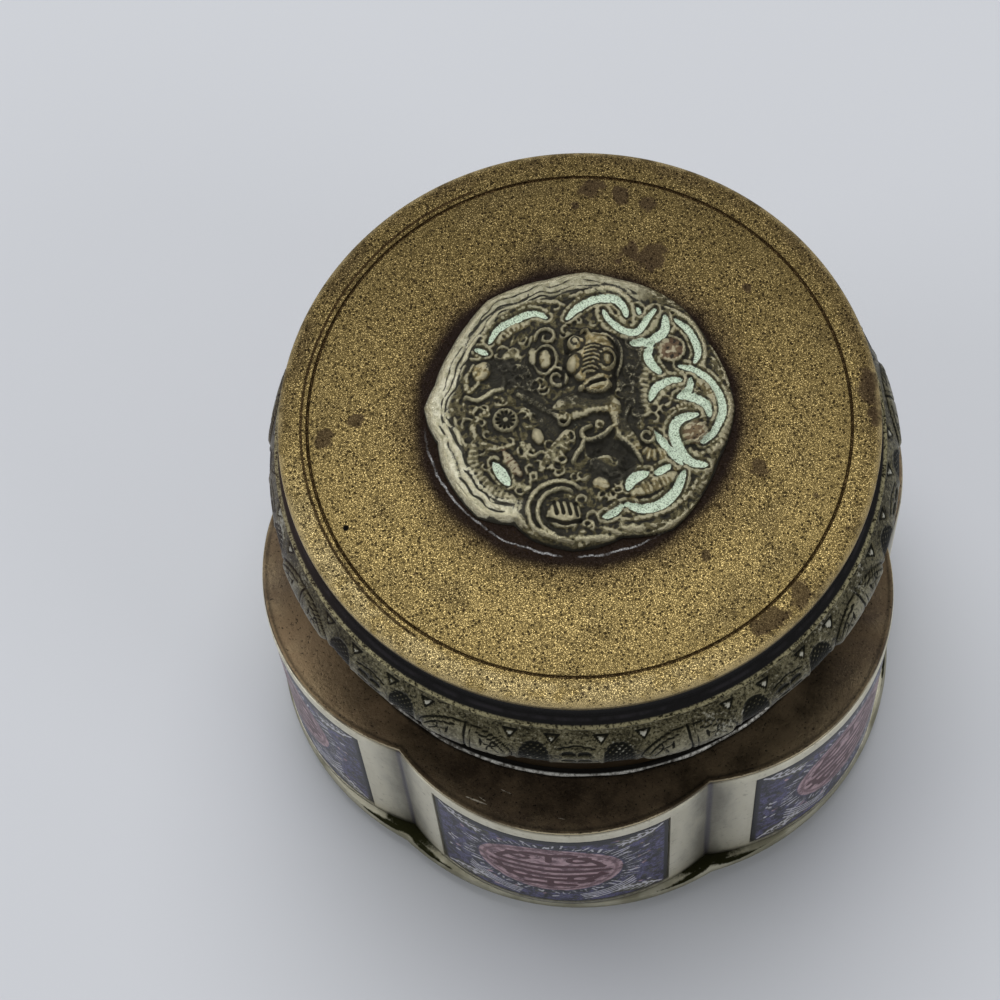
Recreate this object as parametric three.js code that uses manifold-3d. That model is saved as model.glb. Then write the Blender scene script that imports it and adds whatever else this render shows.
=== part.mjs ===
// Six-lobed brass tea caddy with enamel panels and a round lift-off lid.
// Millimetres, Z up, origin at the middle of the underside, a panel facing -Y.
import * as THREE from "three";
import { mergeVertices } from "three/addons/utils/BufferGeometryUtils.js";
import Module from "manifold-3d";

const wasm = await Module();
wasm.setup();

// Fits between pieces that touch.
const SEAT_GAP = 0.2;
const LID_CLEARANCE = 0.5;

// Body: circular lobes round the axis.
const LOBE_COUNT = 6;
const LOBE_RADIUS = 29.04;
const FRONT_ANGLE = -90;
const WALL_THICKNESS = 1.2;
const WALL_HEIGHT = 35.45;
const WALL_RIM_CHAMFER = 0.3;

// Foot: a softer six-lobed flange on a ring set back under it, hollow underneath.
const FOOT_LOBE_RADIUS = 37.5;
const FOOT_CUSP_LEDGE = 2.45;
const FOOT_HEIGHT = 5.2;
const FOOT_PLATE = 2;
const FOOT_RING_WIDTH = 2.4;
const FOOT_WAIST = 2;
const FOOT_EDGE_SOFTNESS = 0.5;

// Enamel fields sunk in the lobes.
const PANEL_HALF_ANGLE = 35;
const PANEL_TOP_MARGIN = 2.65;
const PANEL_BOTTOM_MARGIN = 0.9;
const PANEL_DEPTH = 0.6;
const ENAMEL_BELOW_FLUSH = 0.08;
const ENAMEL_GAP = 0.12;

// Shoulder plate laid over the wall, and the tall neck soldered to it, which the lid slides over.
const SHOULDER_THICKNESS = 0.8;
const SHOULDER_EDGE_INSET = 0.15;
const SHOULDER_LIP = 1.2;
const NECK_THICKNESS = 0.9;
const NECK_LEAD = 0.3;
const NECK_LEDGE = 4.24;
const SOLDER_SIZE = 0.7;

// Lid: top plate, then one pressed shell with a bulging band and a turned-in seat for the plate.
const LID_RADIUS = 40;
const LID_TOP_OVER_SHOULDER = 34.15;
const CAP_HEIGHT = 22;
const LID_EDGE_HEIGHT = 1.9;
const LID_EDGE_SOFTNESS = 0.35;
const LID_PLATE = 1.1;
const LID_EDGE_WIDTH = 6;
const PLATE_SEAT_WIDTH = 3;
const SHELL_THICKNESS = 1.0;
const BEAD_DEPTH = 6.6;
const BEAD_RADIUS = 41;
const BEAD_SIZE = 0.35;
const COVE_HEIGHT = 1.8;
const COVE_DEPTH = 1.6;
const BAND_HEIGHT = 10.8;
const BAND_SWELL = 2.2;
const BAND_EDGE_SET = 0.3;
const ENGRAVED_RADIUS = 36;
const ENGRAVED_WIDTH = 0.5;
const ENGRAVED_DEPTH = 0.25;

// Carving of the band: raised pointed cartouches.
const REPEAT_COUNT = 9;
const CARTOUCHE_ANGLE = -64.4;
const CARTOUCHE_HALF_WIDTH = 6.4;
const CARTOUCHE_HALF_HEIGHT = 3.9;
const CARVING_RISE = 0.45;
const CARVING_ROOT = 0.5;

// Medallion: a cast plaque soldered to the lid.
// Its scrolls and bosses are placed on a plaque of 20 mm radius and follow the real one.
const MEDALLION_RADIUS = 20.2;
const MEDALLION_DRAWN_RADIUS = 20;
const MEDALLION_LOBES = 11;
const MEDALLION_LOBE_DEPTH = 0.45;
const MEDALLION_EDGE = 1.2;
const MEDALLION_FLANGE = 2.6;
const MEDALLION_FIELD = 1.5;
const MEDALLION_DOME = 1.1;
const STRAND_RADIUS = 1.15;
const STRAND_HUMP = 0.5;

const LOBE_STEPS = 12;
const ROUND_STEPS = 48;
const SPHERE_STEPS = 8;
const TUBE_SIDES = 5;
const STRAND_STEPS = 6;
const MEDALLION_LOBE_STEPS = 3;
const CARTOUCHE_STEPS = 10;

const wallBase = FOOT_HEIGHT + SEAT_GAP;
const wallTop = wallBase + WALL_HEIGHT;
const shoulderTop = wallTop + SEAT_GAP + SHOULDER_THICKNESS;
const lidTop = shoulderTop + LID_TOP_OVER_SHOULDER;
const drumRadius = BEAD_RADIUS - COVE_DEPTH;
const drumInner = drumRadius - SHELL_THICKNESS;
const neckRadius = drumInner - LID_CLEARANCE;
const neckInner = neckRadius - NECK_THICKNESS;
const drumTop = lidTop - LID_EDGE_HEIGHT - SEAT_GAP;
const seatUnder = drumTop - SHELL_THICKNESS;
const sectorStep = (2 * Math.PI) / LOBE_COUNT;

const rad = THREE.MathUtils.degToRad;

// How far out a lobe's centre stands for the lobes to meet at a given reach from the axis.
function offsetFor(radius, cuspReach) {
  const across = cuspReach * Math.sin(sectorStep / 2);
  return cuspReach * Math.cos(sectorStep / 2) - Math.sqrt(radius * radius - across * across);
}

const wallCusp = neckRadius + NECK_LEDGE + WALL_THICKNESS;
const lobeOffset = offsetFor(LOBE_RADIUS, wallCusp);
const footLobeOffset = offsetFor(FOOT_LOBE_RADIUS, wallCusp + FOOT_CUSP_LEDGE);

// Angle at a lobe's own centre where it meets the next lobe.
function cuspAngle(offset, radius) {
  const half = sectorStep / 2;
  const across = offset * Math.sin(half);
  const reach = offset * Math.cos(half) + Math.sqrt(radius * radius - across * across);
  return Math.atan2(reach * Math.sin(half), reach * Math.cos(half) - offset);
}

function lobedRing(offset, radius, z) {
  const ring = [];
  const cusp = cuspAngle(offset, radius);
  for (let lobe = 0; lobe < LOBE_COUNT; lobe++) {
    const axis = rad(FRONT_ANGLE) + lobe * sectorStep;
    for (let i = 0; i < LOBE_STEPS; i++) {
      const turn = axis - cusp + (2 * cusp * i) / LOBE_STEPS;
      const x = offset * Math.cos(axis) + radius * Math.cos(turn);
      const y = offset * Math.sin(axis) + radius * Math.sin(turn);
      ring.push(new THREE.Vector3(x, y, z));
    }
  }
  return ring;
}

function polarRing(radiusAt, z, count) {
  const start = rad(FRONT_ANGLE) - sectorStep / 2;
  return Array.from({ length: count }, (_, i) => {
    const turn = start + (2 * Math.PI * i) / count;
    const r = radiusAt(turn);
    return new THREE.Vector3(r * Math.cos(turn), r * Math.sin(turn), z);
  });
}

const lobedCount = LOBE_COUNT * LOBE_STEPS;
const roundRing = (radius, z, count = ROUND_STEPS) => polarRing(() => radius, z, count);
const wallRing = (inset, z) => lobedRing(lobeOffset, LOBE_RADIUS - inset, z);
const footRing = (inset, z) => lobedRing(footLobeOffset, FOOT_LOBE_RADIUS - inset, z);

function solidOf(geometry) {
  const bare = new THREE.BufferGeometry();
  bare.setAttribute("position", geometry.getAttribute("position"));
  if (geometry.index) bare.setIndex(geometry.index);
  const merged = mergeVertices(bare, 1e-4);
  const mesh = new wasm.Mesh({
    numProp: 3,
    vertProperties: new Float32Array(merged.attributes.position.array),
    triVerts: new Uint32Array(merged.index.array),
  });
  return new wasm.Manifold(mesh);
}

function middleOf(ring) {
  const sum = ring.reduce((all, point) => all.add(point), new THREE.Vector3());
  return sum.divideScalar(ring.length);
}

// Skin over rings of equal length, read up the outside and down the inside.
// A ring loop with no ends is a tube section; otherwise each end closes on its own middle.
function skin(rings, closed) {
  const count = rings[0].length;
  const points = rings.flat();
  const index = [];
  const quads = closed ? rings.length : rings.length - 1;
  for (let j = 0; j < quads; j++) {
    const low = j * count;
    const high = ((j + 1) % rings.length) * count;
    for (let i = 0; i < count; i++) {
      const next = (i + 1) % count;
      index.push(low + i, low + next, high + next, low + i, high + next, high + i);
    }
  }
  if (!closed) {
    const top = (rings.length - 1) * count;
    const under = points.push(middleOf(rings[0])) - 1;
    const over = points.push(middleOf(rings.at(-1))) - 1;
    for (let i = 0; i < count; i++) {
      const next = (i + 1) % count;
      index.push(under, next, i, over, top + i, top + next);
    }
  }
  const geometry = new THREE.BufferGeometry().setFromPoints(points);
  geometry.setIndex(index);
  return solidOf(geometry);
}

// Profile points are [radius, z], up the outside and down the inside.
const turned = (profile) => skin(profile.map(([r, z]) => roundRing(r, z)), true);

// Curved slab on one lobe, between two radii of that lobe.
function lobeSlab(lobe, inner, outer, halfAngle, z0, z1) {
  const axis = rad(FRONT_ANGLE) + lobe * sectorStep;
  const arc = (radius, from, to) =>
    Array.from({ length: LOBE_STEPS + 1 }, (_, i) => {
      const turn = axis + from + ((to - from) * i) / LOBE_STEPS;
      const x = lobeOffset * Math.cos(axis) + radius * Math.cos(turn);
      const y = lobeOffset * Math.sin(axis) + radius * Math.sin(turn);
      return new THREE.Vector2(x, y);
    });
  const outline = [...arc(outer, -halfAngle, halfAngle), ...arc(inner, halfAngle, -halfAngle)];
  const shape = new THREE.Shape(outline);
  const slab = new THREE.ExtrudeGeometry(shape, { depth: z1 - z0, bevelEnabled: false });
  return solidOf(slab.translate(0, 0, z0));
}

// Foot plate and ring in one, the ring standing on its own flat edge.
function footSolid() {
  const soft = FOOT_EDGE_SOFTNESS;
  const plateUnder = FOOT_HEIGHT - FOOT_PLATE;
  const ringInner = FOOT_WAIST + FOOT_RING_WIDTH;
  const rings = [
    footRing(ringInner, plateUnder),
    footRing(ringInner, 0),
    footRing(FOOT_WAIST, 0),
    footRing(FOOT_WAIST, plateUnder - soft),
    footRing(0, FOOT_HEIGHT - FOOT_PLATE / 2),
    footRing(soft / 2, FOOT_HEIGHT - soft / 4),
    footRing(soft, FOOT_HEIGHT),
  ];
  return skin(rings, false);
}

const panelLow = wallBase + PANEL_BOTTOM_MARGIN;
const panelHigh = wallTop - PANEL_TOP_MARGIN;
const panelInner = LOBE_RADIUS - PANEL_DEPTH;

function wallSolid() {
  const rings = [
    wallRing(WALL_THICKNESS, wallBase),
    wallRing(0, wallBase),
    wallRing(0, wallTop - WALL_RIM_CHAMFER),
    wallRing(WALL_RIM_CHAMFER, wallTop),
    wallRing(WALL_THICKNESS, wallTop),
  ];
  let wall = skin(rings, true);
  for (let lobe = 0; lobe < LOBE_COUNT; lobe++) {
    const clear = LOBE_RADIUS + WALL_THICKNESS;
    const half = rad(PANEL_HALF_ANGLE);
    wall = wall.subtract(lobeSlab(lobe, panelInner, clear, half, panelLow, panelHigh));
  }
  return wall;
}

function enamelSolid(lobe) {
  const inner = panelInner + ENAMEL_GAP;
  const outer = LOBE_RADIUS - ENAMEL_BELOW_FLUSH;
  const half = rad(PANEL_HALF_ANGLE) - ENAMEL_GAP / panelInner;
  return lobeSlab(lobe, inner, outer, half, panelLow + ENAMEL_GAP, panelHigh - ENAMEL_GAP);
}

function shoulderSolid() {
  const under = shoulderTop - SHOULDER_THICKNESS;
  const hole = neckInner - SHOULDER_LIP;
  const rings = [
    roundRing(hole, under, lobedCount),
    wallRing(SHOULDER_EDGE_INSET, under),
    wallRing(SHOULDER_EDGE_INSET, shoulderTop),
    roundRing(hole, shoulderTop, lobedCount),
  ];
  return skin(rings, true);
}

function neckSolid() {
  const low = shoulderTop + SEAT_GAP;
  const high = seatUnder - SEAT_GAP;
  return turned([
    [neckInner, low],
    [neckRadius + SOLDER_SIZE, low],
    [neckRadius, low + SOLDER_SIZE],
    [neckRadius, high - NECK_LEAD],
    [neckRadius - NECK_LEAD, high],
    [neckInner, high],
  ]);
}

const bandTop = lidTop - BEAD_DEPTH;
const bandLow = bandTop - BAND_HEIGHT;

// Radius of the band's face, bulging from nothing at both edges.
const bandEdge = BEAD_RADIUS - BAND_EDGE_SET;
const bandRadius = (share) => bandEdge + BAND_SWELL * Math.sin(Math.PI * share);
const bandPoint = (share, inset) => [bandRadius(share) - inset, bandLow + share * BAND_HEIGHT];
const outerShares = [0.12, 0.31, 0.5, 0.69, 0.88];
const innerShares = [0.75, 0.25];

function shellSolid() {
  const capLow = lidTop - CAP_HEIGHT;
  const shell = turned([
    [drumInner, capLow],
    [drumRadius, capLow],
    [drumRadius, bandLow - COVE_HEIGHT],
    [bandEdge, bandLow - BEAD_SIZE],
    [BEAD_RADIUS, bandLow],
    ...outerShares.map((share) => bandPoint(share, 0)),
    [BEAD_RADIUS, bandTop],
    [bandEdge, bandTop + BEAD_SIZE],
    [drumRadius, bandTop + COVE_HEIGHT],
    [drumRadius, drumTop],
    [neckInner - PLATE_SEAT_WIDTH, drumTop],
    [neckInner - PLATE_SEAT_WIDTH, seatUnder],
    [drumInner, seatUnder],
    [drumInner, bandTop + COVE_HEIGHT / 2],
    ...innerShares.map((share) => bandPoint(share, SHELL_THICKNESS)),
    [drumInner, bandLow - COVE_HEIGHT / 2],
  ]);
  return carvedPads().reduce((all, pad) => all.add(pad), shell);
}

// Raised pad on the band, its outline in millimetres round and up from its middle.
function bandPad(outline, degrees) {
  const ringAt = (scale, rise) =>
    outline.map(([across, up]) => {
      const share = 0.5 + (up * scale) / BAND_HEIGHT;
      const radius = bandRadius(share) + rise;
      const turn = rad(degrees) + (across * scale) / bandRadius(0.5);
      const z = bandLow + share * BAND_HEIGHT;
      return new THREE.Vector3(radius * Math.cos(turn), radius * Math.sin(turn), z);
    });
  const rings = [ringAt(1, -CARVING_ROOT), ringAt(1, CARVING_RISE), ringAt(0.5, CARVING_RISE)];
  return skin(rings, false);
}

// Almond outline of a cartouche, blunt in the middle and pinched to both ends.
function carvedPads() {
  const outline = Array.from({ length: CARTOUCHE_STEPS }, (_, i) => {
    const turn = (2 * Math.PI * i) / CARTOUCHE_STEPS;
    const pinch = Math.cos(turn) * Math.abs(Math.cos(turn));
    const across = (CARTOUCHE_HALF_WIDTH * (Math.cos(turn) + pinch)) / 2;
    return [across, CARTOUCHE_HALF_HEIGHT * Math.sin(turn)];
  });
  return Array.from({ length: REPEAT_COUNT }, (_, i) => {
    return bandPad(outline, CARTOUCHE_ANGLE + (360 * i) / REPEAT_COUNT);
  });
}

function lidTopSolid() {
  const under = lidTop - LID_PLATE;
  const lip = lidTop - LID_EDGE_HEIGHT;
  const half = ENGRAVED_WIDTH / 2;
  const rings = [
    [LID_RADIUS - LID_EDGE_WIDTH, under],
    [LID_RADIUS - LID_EDGE_WIDTH, lip],
    [LID_RADIUS - LID_EDGE_SOFTNESS, lip],
    [LID_RADIUS, lip + LID_EDGE_SOFTNESS],
    [LID_RADIUS, lidTop - LID_EDGE_SOFTNESS],
    [LID_RADIUS - LID_EDGE_SOFTNESS, lidTop],
    [ENGRAVED_RADIUS + half, lidTop],
    [ENGRAVED_RADIUS, lidTop - ENGRAVED_DEPTH],
    [ENGRAVED_RADIUS - half, lidTop],
  ].map(([r, z]) => roundRing(r, z));
  return skin(rings, false);
}

const drawn = MEDALLION_RADIUS / MEDALLION_DRAWN_RADIUS;

// Rounded tapering strand along a curve through [x, y] points, humped in the middle.
function strand(points, z, thick, hump) {
  const path = points.map(([x, y], i) => {
    const share = i / (points.length - 1);
    return new THREE.Vector3(x * drawn, y * drawn, z + hump * Math.sin(Math.PI * share));
  });
  const curve = new THREE.CatmullRomCurve3(path, false, "centripetal");
  const steps = STRAND_STEPS;
  const up = new THREE.Vector3(0, 0, 1);
  const rings = Array.from({ length: steps + 1 }, (_, j) => {
    const share = j / steps;
    const at = curve.getPoint(share);
    const side = curve.getTangent(share).cross(up).normalize();
    const size = thick * (0.6 + 0.4 * Math.sin(Math.PI * share));
    return Array.from({ length: TUBE_SIDES }, (_, k) => {
      const turn = (2 * Math.PI * k) / TUBE_SIDES;
      const point = at.clone().addScaledVector(side, -size * Math.cos(turn));
      return point.addScaledVector(up, size * Math.sin(turn));
    });
  });
  return skin(rings, false);
}

function boss(x, y, z, sizeX, sizeY, sizeZ, turn = 0) {
  const ball = new THREE.SphereGeometry(1, SPHERE_STEPS, SPHERE_STEPS / 2);
  ball.scale(sizeX * drawn, sizeY * drawn, sizeZ).rotateZ(rad(turn));
  return solidOf(ball.translate(x * drawn, y * drawn, z));
}

// Spiral of points round a centre, from the outer radius inwards.
function scroll(x, y, outer, inner, from, sweep) {
  const count = 7;
  return Array.from({ length: count }, (_, i) => {
    const share = i / (count - 1);
    const turn = rad(from + sweep * share);
    const r = outer + (inner - outer) * share;
    return [x + r * Math.cos(turn), y + r * Math.sin(turn)];
  });
}

function medallionSolid() {
  const base = lidTop + SEAT_GAP;
  const count = MEDALLION_LOBES * MEDALLION_LOBE_STEPS;
  const wave = (turn) => Math.abs(Math.sin((turn * MEDALLION_LOBES) / 2));
  const edge = (turn) => MEDALLION_RADIUS - MEDALLION_LOBE_DEPTH * (1 - wave(turn));
  const rim = base + MEDALLION_EDGE;
  const field = base + MEDALLION_FIELD;
  const top = field + MEDALLION_DOME;
  const fieldRadius = MEDALLION_RADIUS - MEDALLION_FLANGE;
  const rings = [
    polarRing(edge, base, count),
    polarRing(edge, rim, count),
    polarRing((turn) => edge(turn) - MEDALLION_FLANGE / 3, rim + MEDALLION_EDGE / 3, count),
    polarRing(() => fieldRadius, field, count),
    polarRing(() => fieldRadius / 2, top, count),
  ];
  const strands = [
    [scroll(11.2, 10.4, 4.6, 2.2, 150, -330), 1],
    [scroll(15.2, -0.4, 4.8, 1.6, 60, 330), 1],
    [scroll(12.6, 4.6, 3.6, 2.4, 200, -150), 0.9],
    [scroll(0.3, -13.2, 4.6, 1.6, 170, -330), 1],
    [scroll(-13.6, 4.6, 3.4, 1.6, 200, -300), 0.9],
    [scroll(-2, 2, 14.6, 14.2, 118, 34), 1],
    [scroll(-2, -3, 12.4, 12.6, 190, 52), 1],
    [scroll(8, -6, 9.4, 9, -70, 62), 0.9],
    [[[-8, 2.4], [-4.7, 0.2], [-1.8, -1.1], [1.5, 0.1], [3.9, 1.4], [4.3, 4]], 0.9],
    [[[4, 1.2], [4.6, -1.6], [2.9, -3.9], [0.8, -7]], 0.8],
    [[[4.6, -1.6], [7.2, -3.7], [9.6, -5.4]], 0.8],
  ];
  const low = field + MEDALLION_DOME / 4;
  const solids = [
    ...strands.map(([path, share]) => strand(path, low, STRAND_RADIUS * share, STRAND_HUMP)),
    boss(1.1, 7.4, top, 3.3, 3.8, 1.9),
    boss(1.5, 4, top, 2.3, 1.7, 1.7),
    boss(-1.2, 9.6, top, 1.3, 1.3, 1.3),
    boss(-4.6, 8.4, top - 0.4, 2, 3, 1.1),
    boss(-9.5, -2, field + 0.5, 1.75, 1.75, 0.9),
    boss(-4.9, -4.1, field + 0.8, 1, 1.5, 0.8, -20),
    boss(4.1, -9.4, field + 0.7, 1.6, 1.1, 0.9),
    boss(11.2, 10.2, field + 0.4, 1.5, 1.5, 1),
    boss(10.8, -9, field + 0.4, 3.4, 1.5, 0.9, 25),
    boss(-8.4, -7.4, field + 0.5, 1, 2.4, 0.9, 20),
  ];
  return solids.reduce((all, one) => all.add(one), skin(rings, false));
}

function meshOf(name, solid, colour, roughness, metalness) {
  const made = solid.getMesh();
  const geometry = new THREE.BufferGeometry();
  const position = new THREE.BufferAttribute(new Float32Array(made.vertProperties), 3);
  geometry.setAttribute("position", position);
  geometry.setIndex(new THREE.BufferAttribute(new Uint32Array(made.triVerts), 1));
  geometry.computeVertexNormals();
  const material = new THREE.MeshStandardMaterial({ color: colour, roughness, metalness });
  const mesh = new THREE.Mesh(geometry, material);
  mesh.name = name;
  return mesh;
}

const caddy = new THREE.Group();
caddy.name = "enamel_tea_caddy";
caddy.add(meshOf("foot", footSolid(), 0x8a8468, 0.5, 1));
caddy.add(meshOf("body_wall", wallSolid(), 0xb3b099, 0.45, 1));
for (let lobe = 0; lobe < LOBE_COUNT; lobe++) {
  caddy.add(meshOf(`enamel_panel_${lobe + 1}`, enamelSolid(lobe), 0x5f6390, 0.25, 0));
}
caddy.add(meshOf("shoulder_plate", shoulderSolid(), 0x4c3d2b, 0.45, 1));
caddy.add(meshOf("neck", neckSolid(), 0x4a3f30, 0.5, 1));
caddy.add(meshOf("lid_shell", shellSolid(), 0x6d6a58, 0.5, 1));
caddy.add(meshOf("lid_top", lidTopSolid(), 0xa58c5a, 0.45, 1));
caddy.add(meshOf("medallion", medallionSolid(), 0x8c8874, 0.5, 1));

export default caddy;
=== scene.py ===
import math

import bmesh
import bpy
import numpy as np
from mathutils import Matrix, Vector
from mathutils.kdtree import KDTree


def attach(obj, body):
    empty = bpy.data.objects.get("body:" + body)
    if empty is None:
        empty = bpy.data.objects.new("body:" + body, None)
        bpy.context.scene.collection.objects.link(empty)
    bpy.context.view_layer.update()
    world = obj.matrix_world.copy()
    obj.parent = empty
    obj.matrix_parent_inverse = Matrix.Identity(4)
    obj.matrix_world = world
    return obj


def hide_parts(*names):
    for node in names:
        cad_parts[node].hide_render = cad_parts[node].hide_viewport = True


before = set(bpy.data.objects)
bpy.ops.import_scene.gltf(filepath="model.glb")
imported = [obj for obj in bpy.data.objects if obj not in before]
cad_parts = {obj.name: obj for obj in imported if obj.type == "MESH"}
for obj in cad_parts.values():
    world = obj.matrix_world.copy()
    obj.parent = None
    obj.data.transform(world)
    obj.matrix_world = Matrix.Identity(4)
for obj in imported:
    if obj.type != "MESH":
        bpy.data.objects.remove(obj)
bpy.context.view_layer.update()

MM = 0.001

# Camera, where the photograph was taken from
# A hand-held view from above, a little in front and to the right of the caddy.
CAMERA_PLACE = Vector((0.02484, -0.16389, 0.45488))
CAMERA_RIGHT = Vector((0.99214, 0.11809, -0.04142))
CAMERA_UP = Vector((-0.09397, 0.92162, 0.37655))
CAMERA_LENS = 112.54

camera = bpy.data.cameras.new("camera")
camera.lens = CAMERA_LENS
camera.sensor_width = 36
camera.clip_start = 0.01
camera_object = bpy.data.objects.new("camera", camera)
camera_back = CAMERA_RIGHT.cross(CAMERA_UP)
facing = Matrix((CAMERA_RIGHT, CAMERA_UP, camera_back)).transposed()
camera_object.matrix_world = Matrix.Translation(CAMERA_PLACE) @ facing.to_4x4()
bpy.context.scene.collection.objects.link(camera_object)
bpy.context.scene.camera = camera_object
bpy.context.scene.view_settings.view_transform = "Standard"


# Table and light
# A plain pale table under soft light: a broad lamp overhead and behind, a weak one at each side.
class Value:
    """A socket of a material. Arithmetic on it adds Math nodes to that material."""

    def __init__(self, tree, socket):
        self.tree = tree
        self.socket = socket

    def node(self, kind, settings, inputs, output=0):
        made = self.tree.nodes.new("ShaderNode" + kind)
        for name, setting in settings.items():
            setattr(made, name, setting)
        for slot, value in inputs.items():
            if isinstance(value, Value):
                self.tree.links.new(value.socket, made.inputs[slot])
            else:
                made.inputs[slot].default_value = value
        return Value(self.tree, made.outputs[output])

    def math(self, operation, *values):
        return self.node("Math", {"operation": operation}, dict(enumerate(values)))

    def __add__(self, other):
        return self.math("ADD", self, other)

    def __sub__(self, other):
        return self.math("SUBTRACT", self, other)

    def __rsub__(self, other):
        return self.math("SUBTRACT", other, self)

    def __mul__(self, other):
        return self.math("MULTIPLY", self, other)

    __radd__ = __add__
    __rmul__ = __mul__

    def top(self, other):
        return self.math("MAXIMUM", self, other)

    def size(self):
        return self.math("ABSOLUTE", self)

    def ramp(self, low, high):
        limits = {"Value": self, "From Min": low, "From Max": high}
        return self.node("MapRange", {"interpolation_type": "SMOOTHSTEP"}, limits)

    def mix(self, first, second):
        return self.node("Mix", {"data_type": "RGBA"}, {0: self, 6: first, 7: second}, 2)

    def noise(self, scale, detail=2.0, rough=0.5):
        inputs = {"Vector": self, "Scale": scale, "Detail": detail, "Roughness": rough}
        return self.node("TexNoise", {}, inputs)

    def cells(self, scale):
        return self.node("TexVoronoi", {}, {"Vector": self, "Scale": scale})

    def moved(self, shift, stretch=(1, 1, 1)):
        return self.node("Mapping", {}, {"Vector": self, "Location": shift, "Scale": stretch})

    def away(self, point):
        return self.node("VectorMath", {"operation": "DISTANCE"}, {0: self, 1: point}, 1)

    def part(self, axis):
        return self.node("SeparateXYZ", {}, {0: self}, axis)


def colour(red, green, blue):
    """A colour as seen, from 0 to 255 a channel, made linear."""
    return tuple(((c / 255 + 0.055) / 1.055) ** 2.4 for c in (red, green, blue)) + (1,)


class Finish:
    """A new material with its surface node, and the places that its patterns read."""

    def __init__(self, name, **inputs):
        self.material = bpy.data.materials.new(name)
        self.material.use_nodes = True
        self.tree = self.material.node_tree
        self.surface = self.tree.nodes["Principled BSDF"]
        places = self.tree.nodes.new("ShaderNodeTexCoord")
        self.place = Value(self.tree, places.outputs["Object"])
        self.set(**inputs)

    def attribute(self, name):
        return self.place.node("Attribute", {"attribute_name": name}, {}, 2)

    def set(self, **inputs):
        for name, value in inputs.items():
            slot = self.surface.inputs[name.replace("_", " ")]
            if isinstance(value, Value):
                self.tree.links.new(value.socket, slot)
            else:
                slot.default_value = value

    def bump(self, height, distance):
        self.set(Normal=self.place.node("Bump", {}, {"Height": height, "Distance": distance}))


TABLE_SIZE = 6.0

bpy.ops.object.select_all(action="DESELECT")
bpy.ops.mesh.primitive_plane_add(size=TABLE_SIZE)
table = bpy.context.object
table.name = "table"
table_white = Finish("table_white", Roughness=0.7)
clouds = table_white.place.noise(3, 3)
table_white.set(Base_Color=clouds.mix(colour(206, 209, 214), colour(211, 213, 218)))
table.data.materials.append(table_white.material)

LAMPS = {
    "lamp_over": ((-0.13, 0.5, 1.35), 1.15, 12.8),
    "lamp_left": ((-1.1, -0.35, 0.9), 0.7, 2.4),
    "lamp_right": ((1.0, -0.5, 0.9), 0.6, 1.8),
}
for name, (place, size, power) in LAMPS.items():
    lamp = bpy.data.lights.new(name, "AREA")
    lamp.shape = "DISK"
    lamp.size = size
    lamp.energy = power
    lamp_object = bpy.data.objects.new(name, lamp)
    lamp_object.location = place
    lamp_object.rotation_euler = Vector(place).to_track_quat("Z", "Y").to_euler()
    bpy.context.scene.collection.objects.link(lamp_object)

world = bpy.data.worlds.new("room")
world.use_nodes = True
world.node_tree.nodes["Background"].inputs[0].default_value = colour(226, 228, 231)
world.node_tree.nodes["Background"].inputs[1].default_value = 0.42
bpy.context.scene.world = world


# Foot
# A cast brass base with six soft lobes, on a ring set back under its edge.
# Painted shade, dark green with dirt, darkens the corner where the wall is soldered to it.
LOBES = 6
LOBE_STEPS = 32
FRONT = -math.pi / 2
WALL_LOBE_OFFSET = 18.2
WALL_LOBE_RADIUS = 29.04
FOOT_LOBE_OFFSET = 9.956
FOOT_LOBE_RADIUS = 37.5
FOOT_TOP = 5.2
FOOT_PLATE_UNDER = 3.2
FOOT_RING_INSET = 4.4
# The foot's edge from its ring upwards: how far each step is set in, and its height.
FOOT_PROFILE = [
    (2, 0), (2, 2.5), (1.1, 3.0), (0.2, 3.6), (0, 4.2), (0.12, 4.75), (0.4, 5.08), (0.9, FOOT_TOP),
]


def lobe_turns(offset, radius, steps=LOBE_STEPS):
    """Angles at a lobe's own centre, from where it meets one neighbour to the other."""
    half = math.pi / LOBES
    across = offset * math.sin(half)
    reach = offset * math.cos(half) + math.sqrt(radius**2 - across**2)
    cusp = math.atan2(reach * math.sin(half), reach * math.cos(half) - offset)
    return [-cusp + 2 * cusp * step / steps for step in range(steps)]


def lobed(offset, radius, z, turns=None, cut=lambda turn: 0):
    """Points round six circular lobes that meet in sharp corners."""
    points = []
    for lobe in range(LOBES):
        axis = FRONT + lobe * 2 * math.pi / LOBES
        for turn in turns or lobe_turns(offset, radius):
            r = radius - cut(turn)
            x = offset * math.cos(axis) + r * math.cos(axis + turn)
            y = offset * math.sin(axis) + r * math.sin(axis + turn)
            points.append((x, y, z))
    return points


def circle(radius, z, count):
    start = FRONT - math.pi / LOBES
    turns = [start + 2 * math.pi * i / count for i in range(count)]
    return [(radius * math.cos(t), radius * math.sin(t), z) for t in turns]


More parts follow.
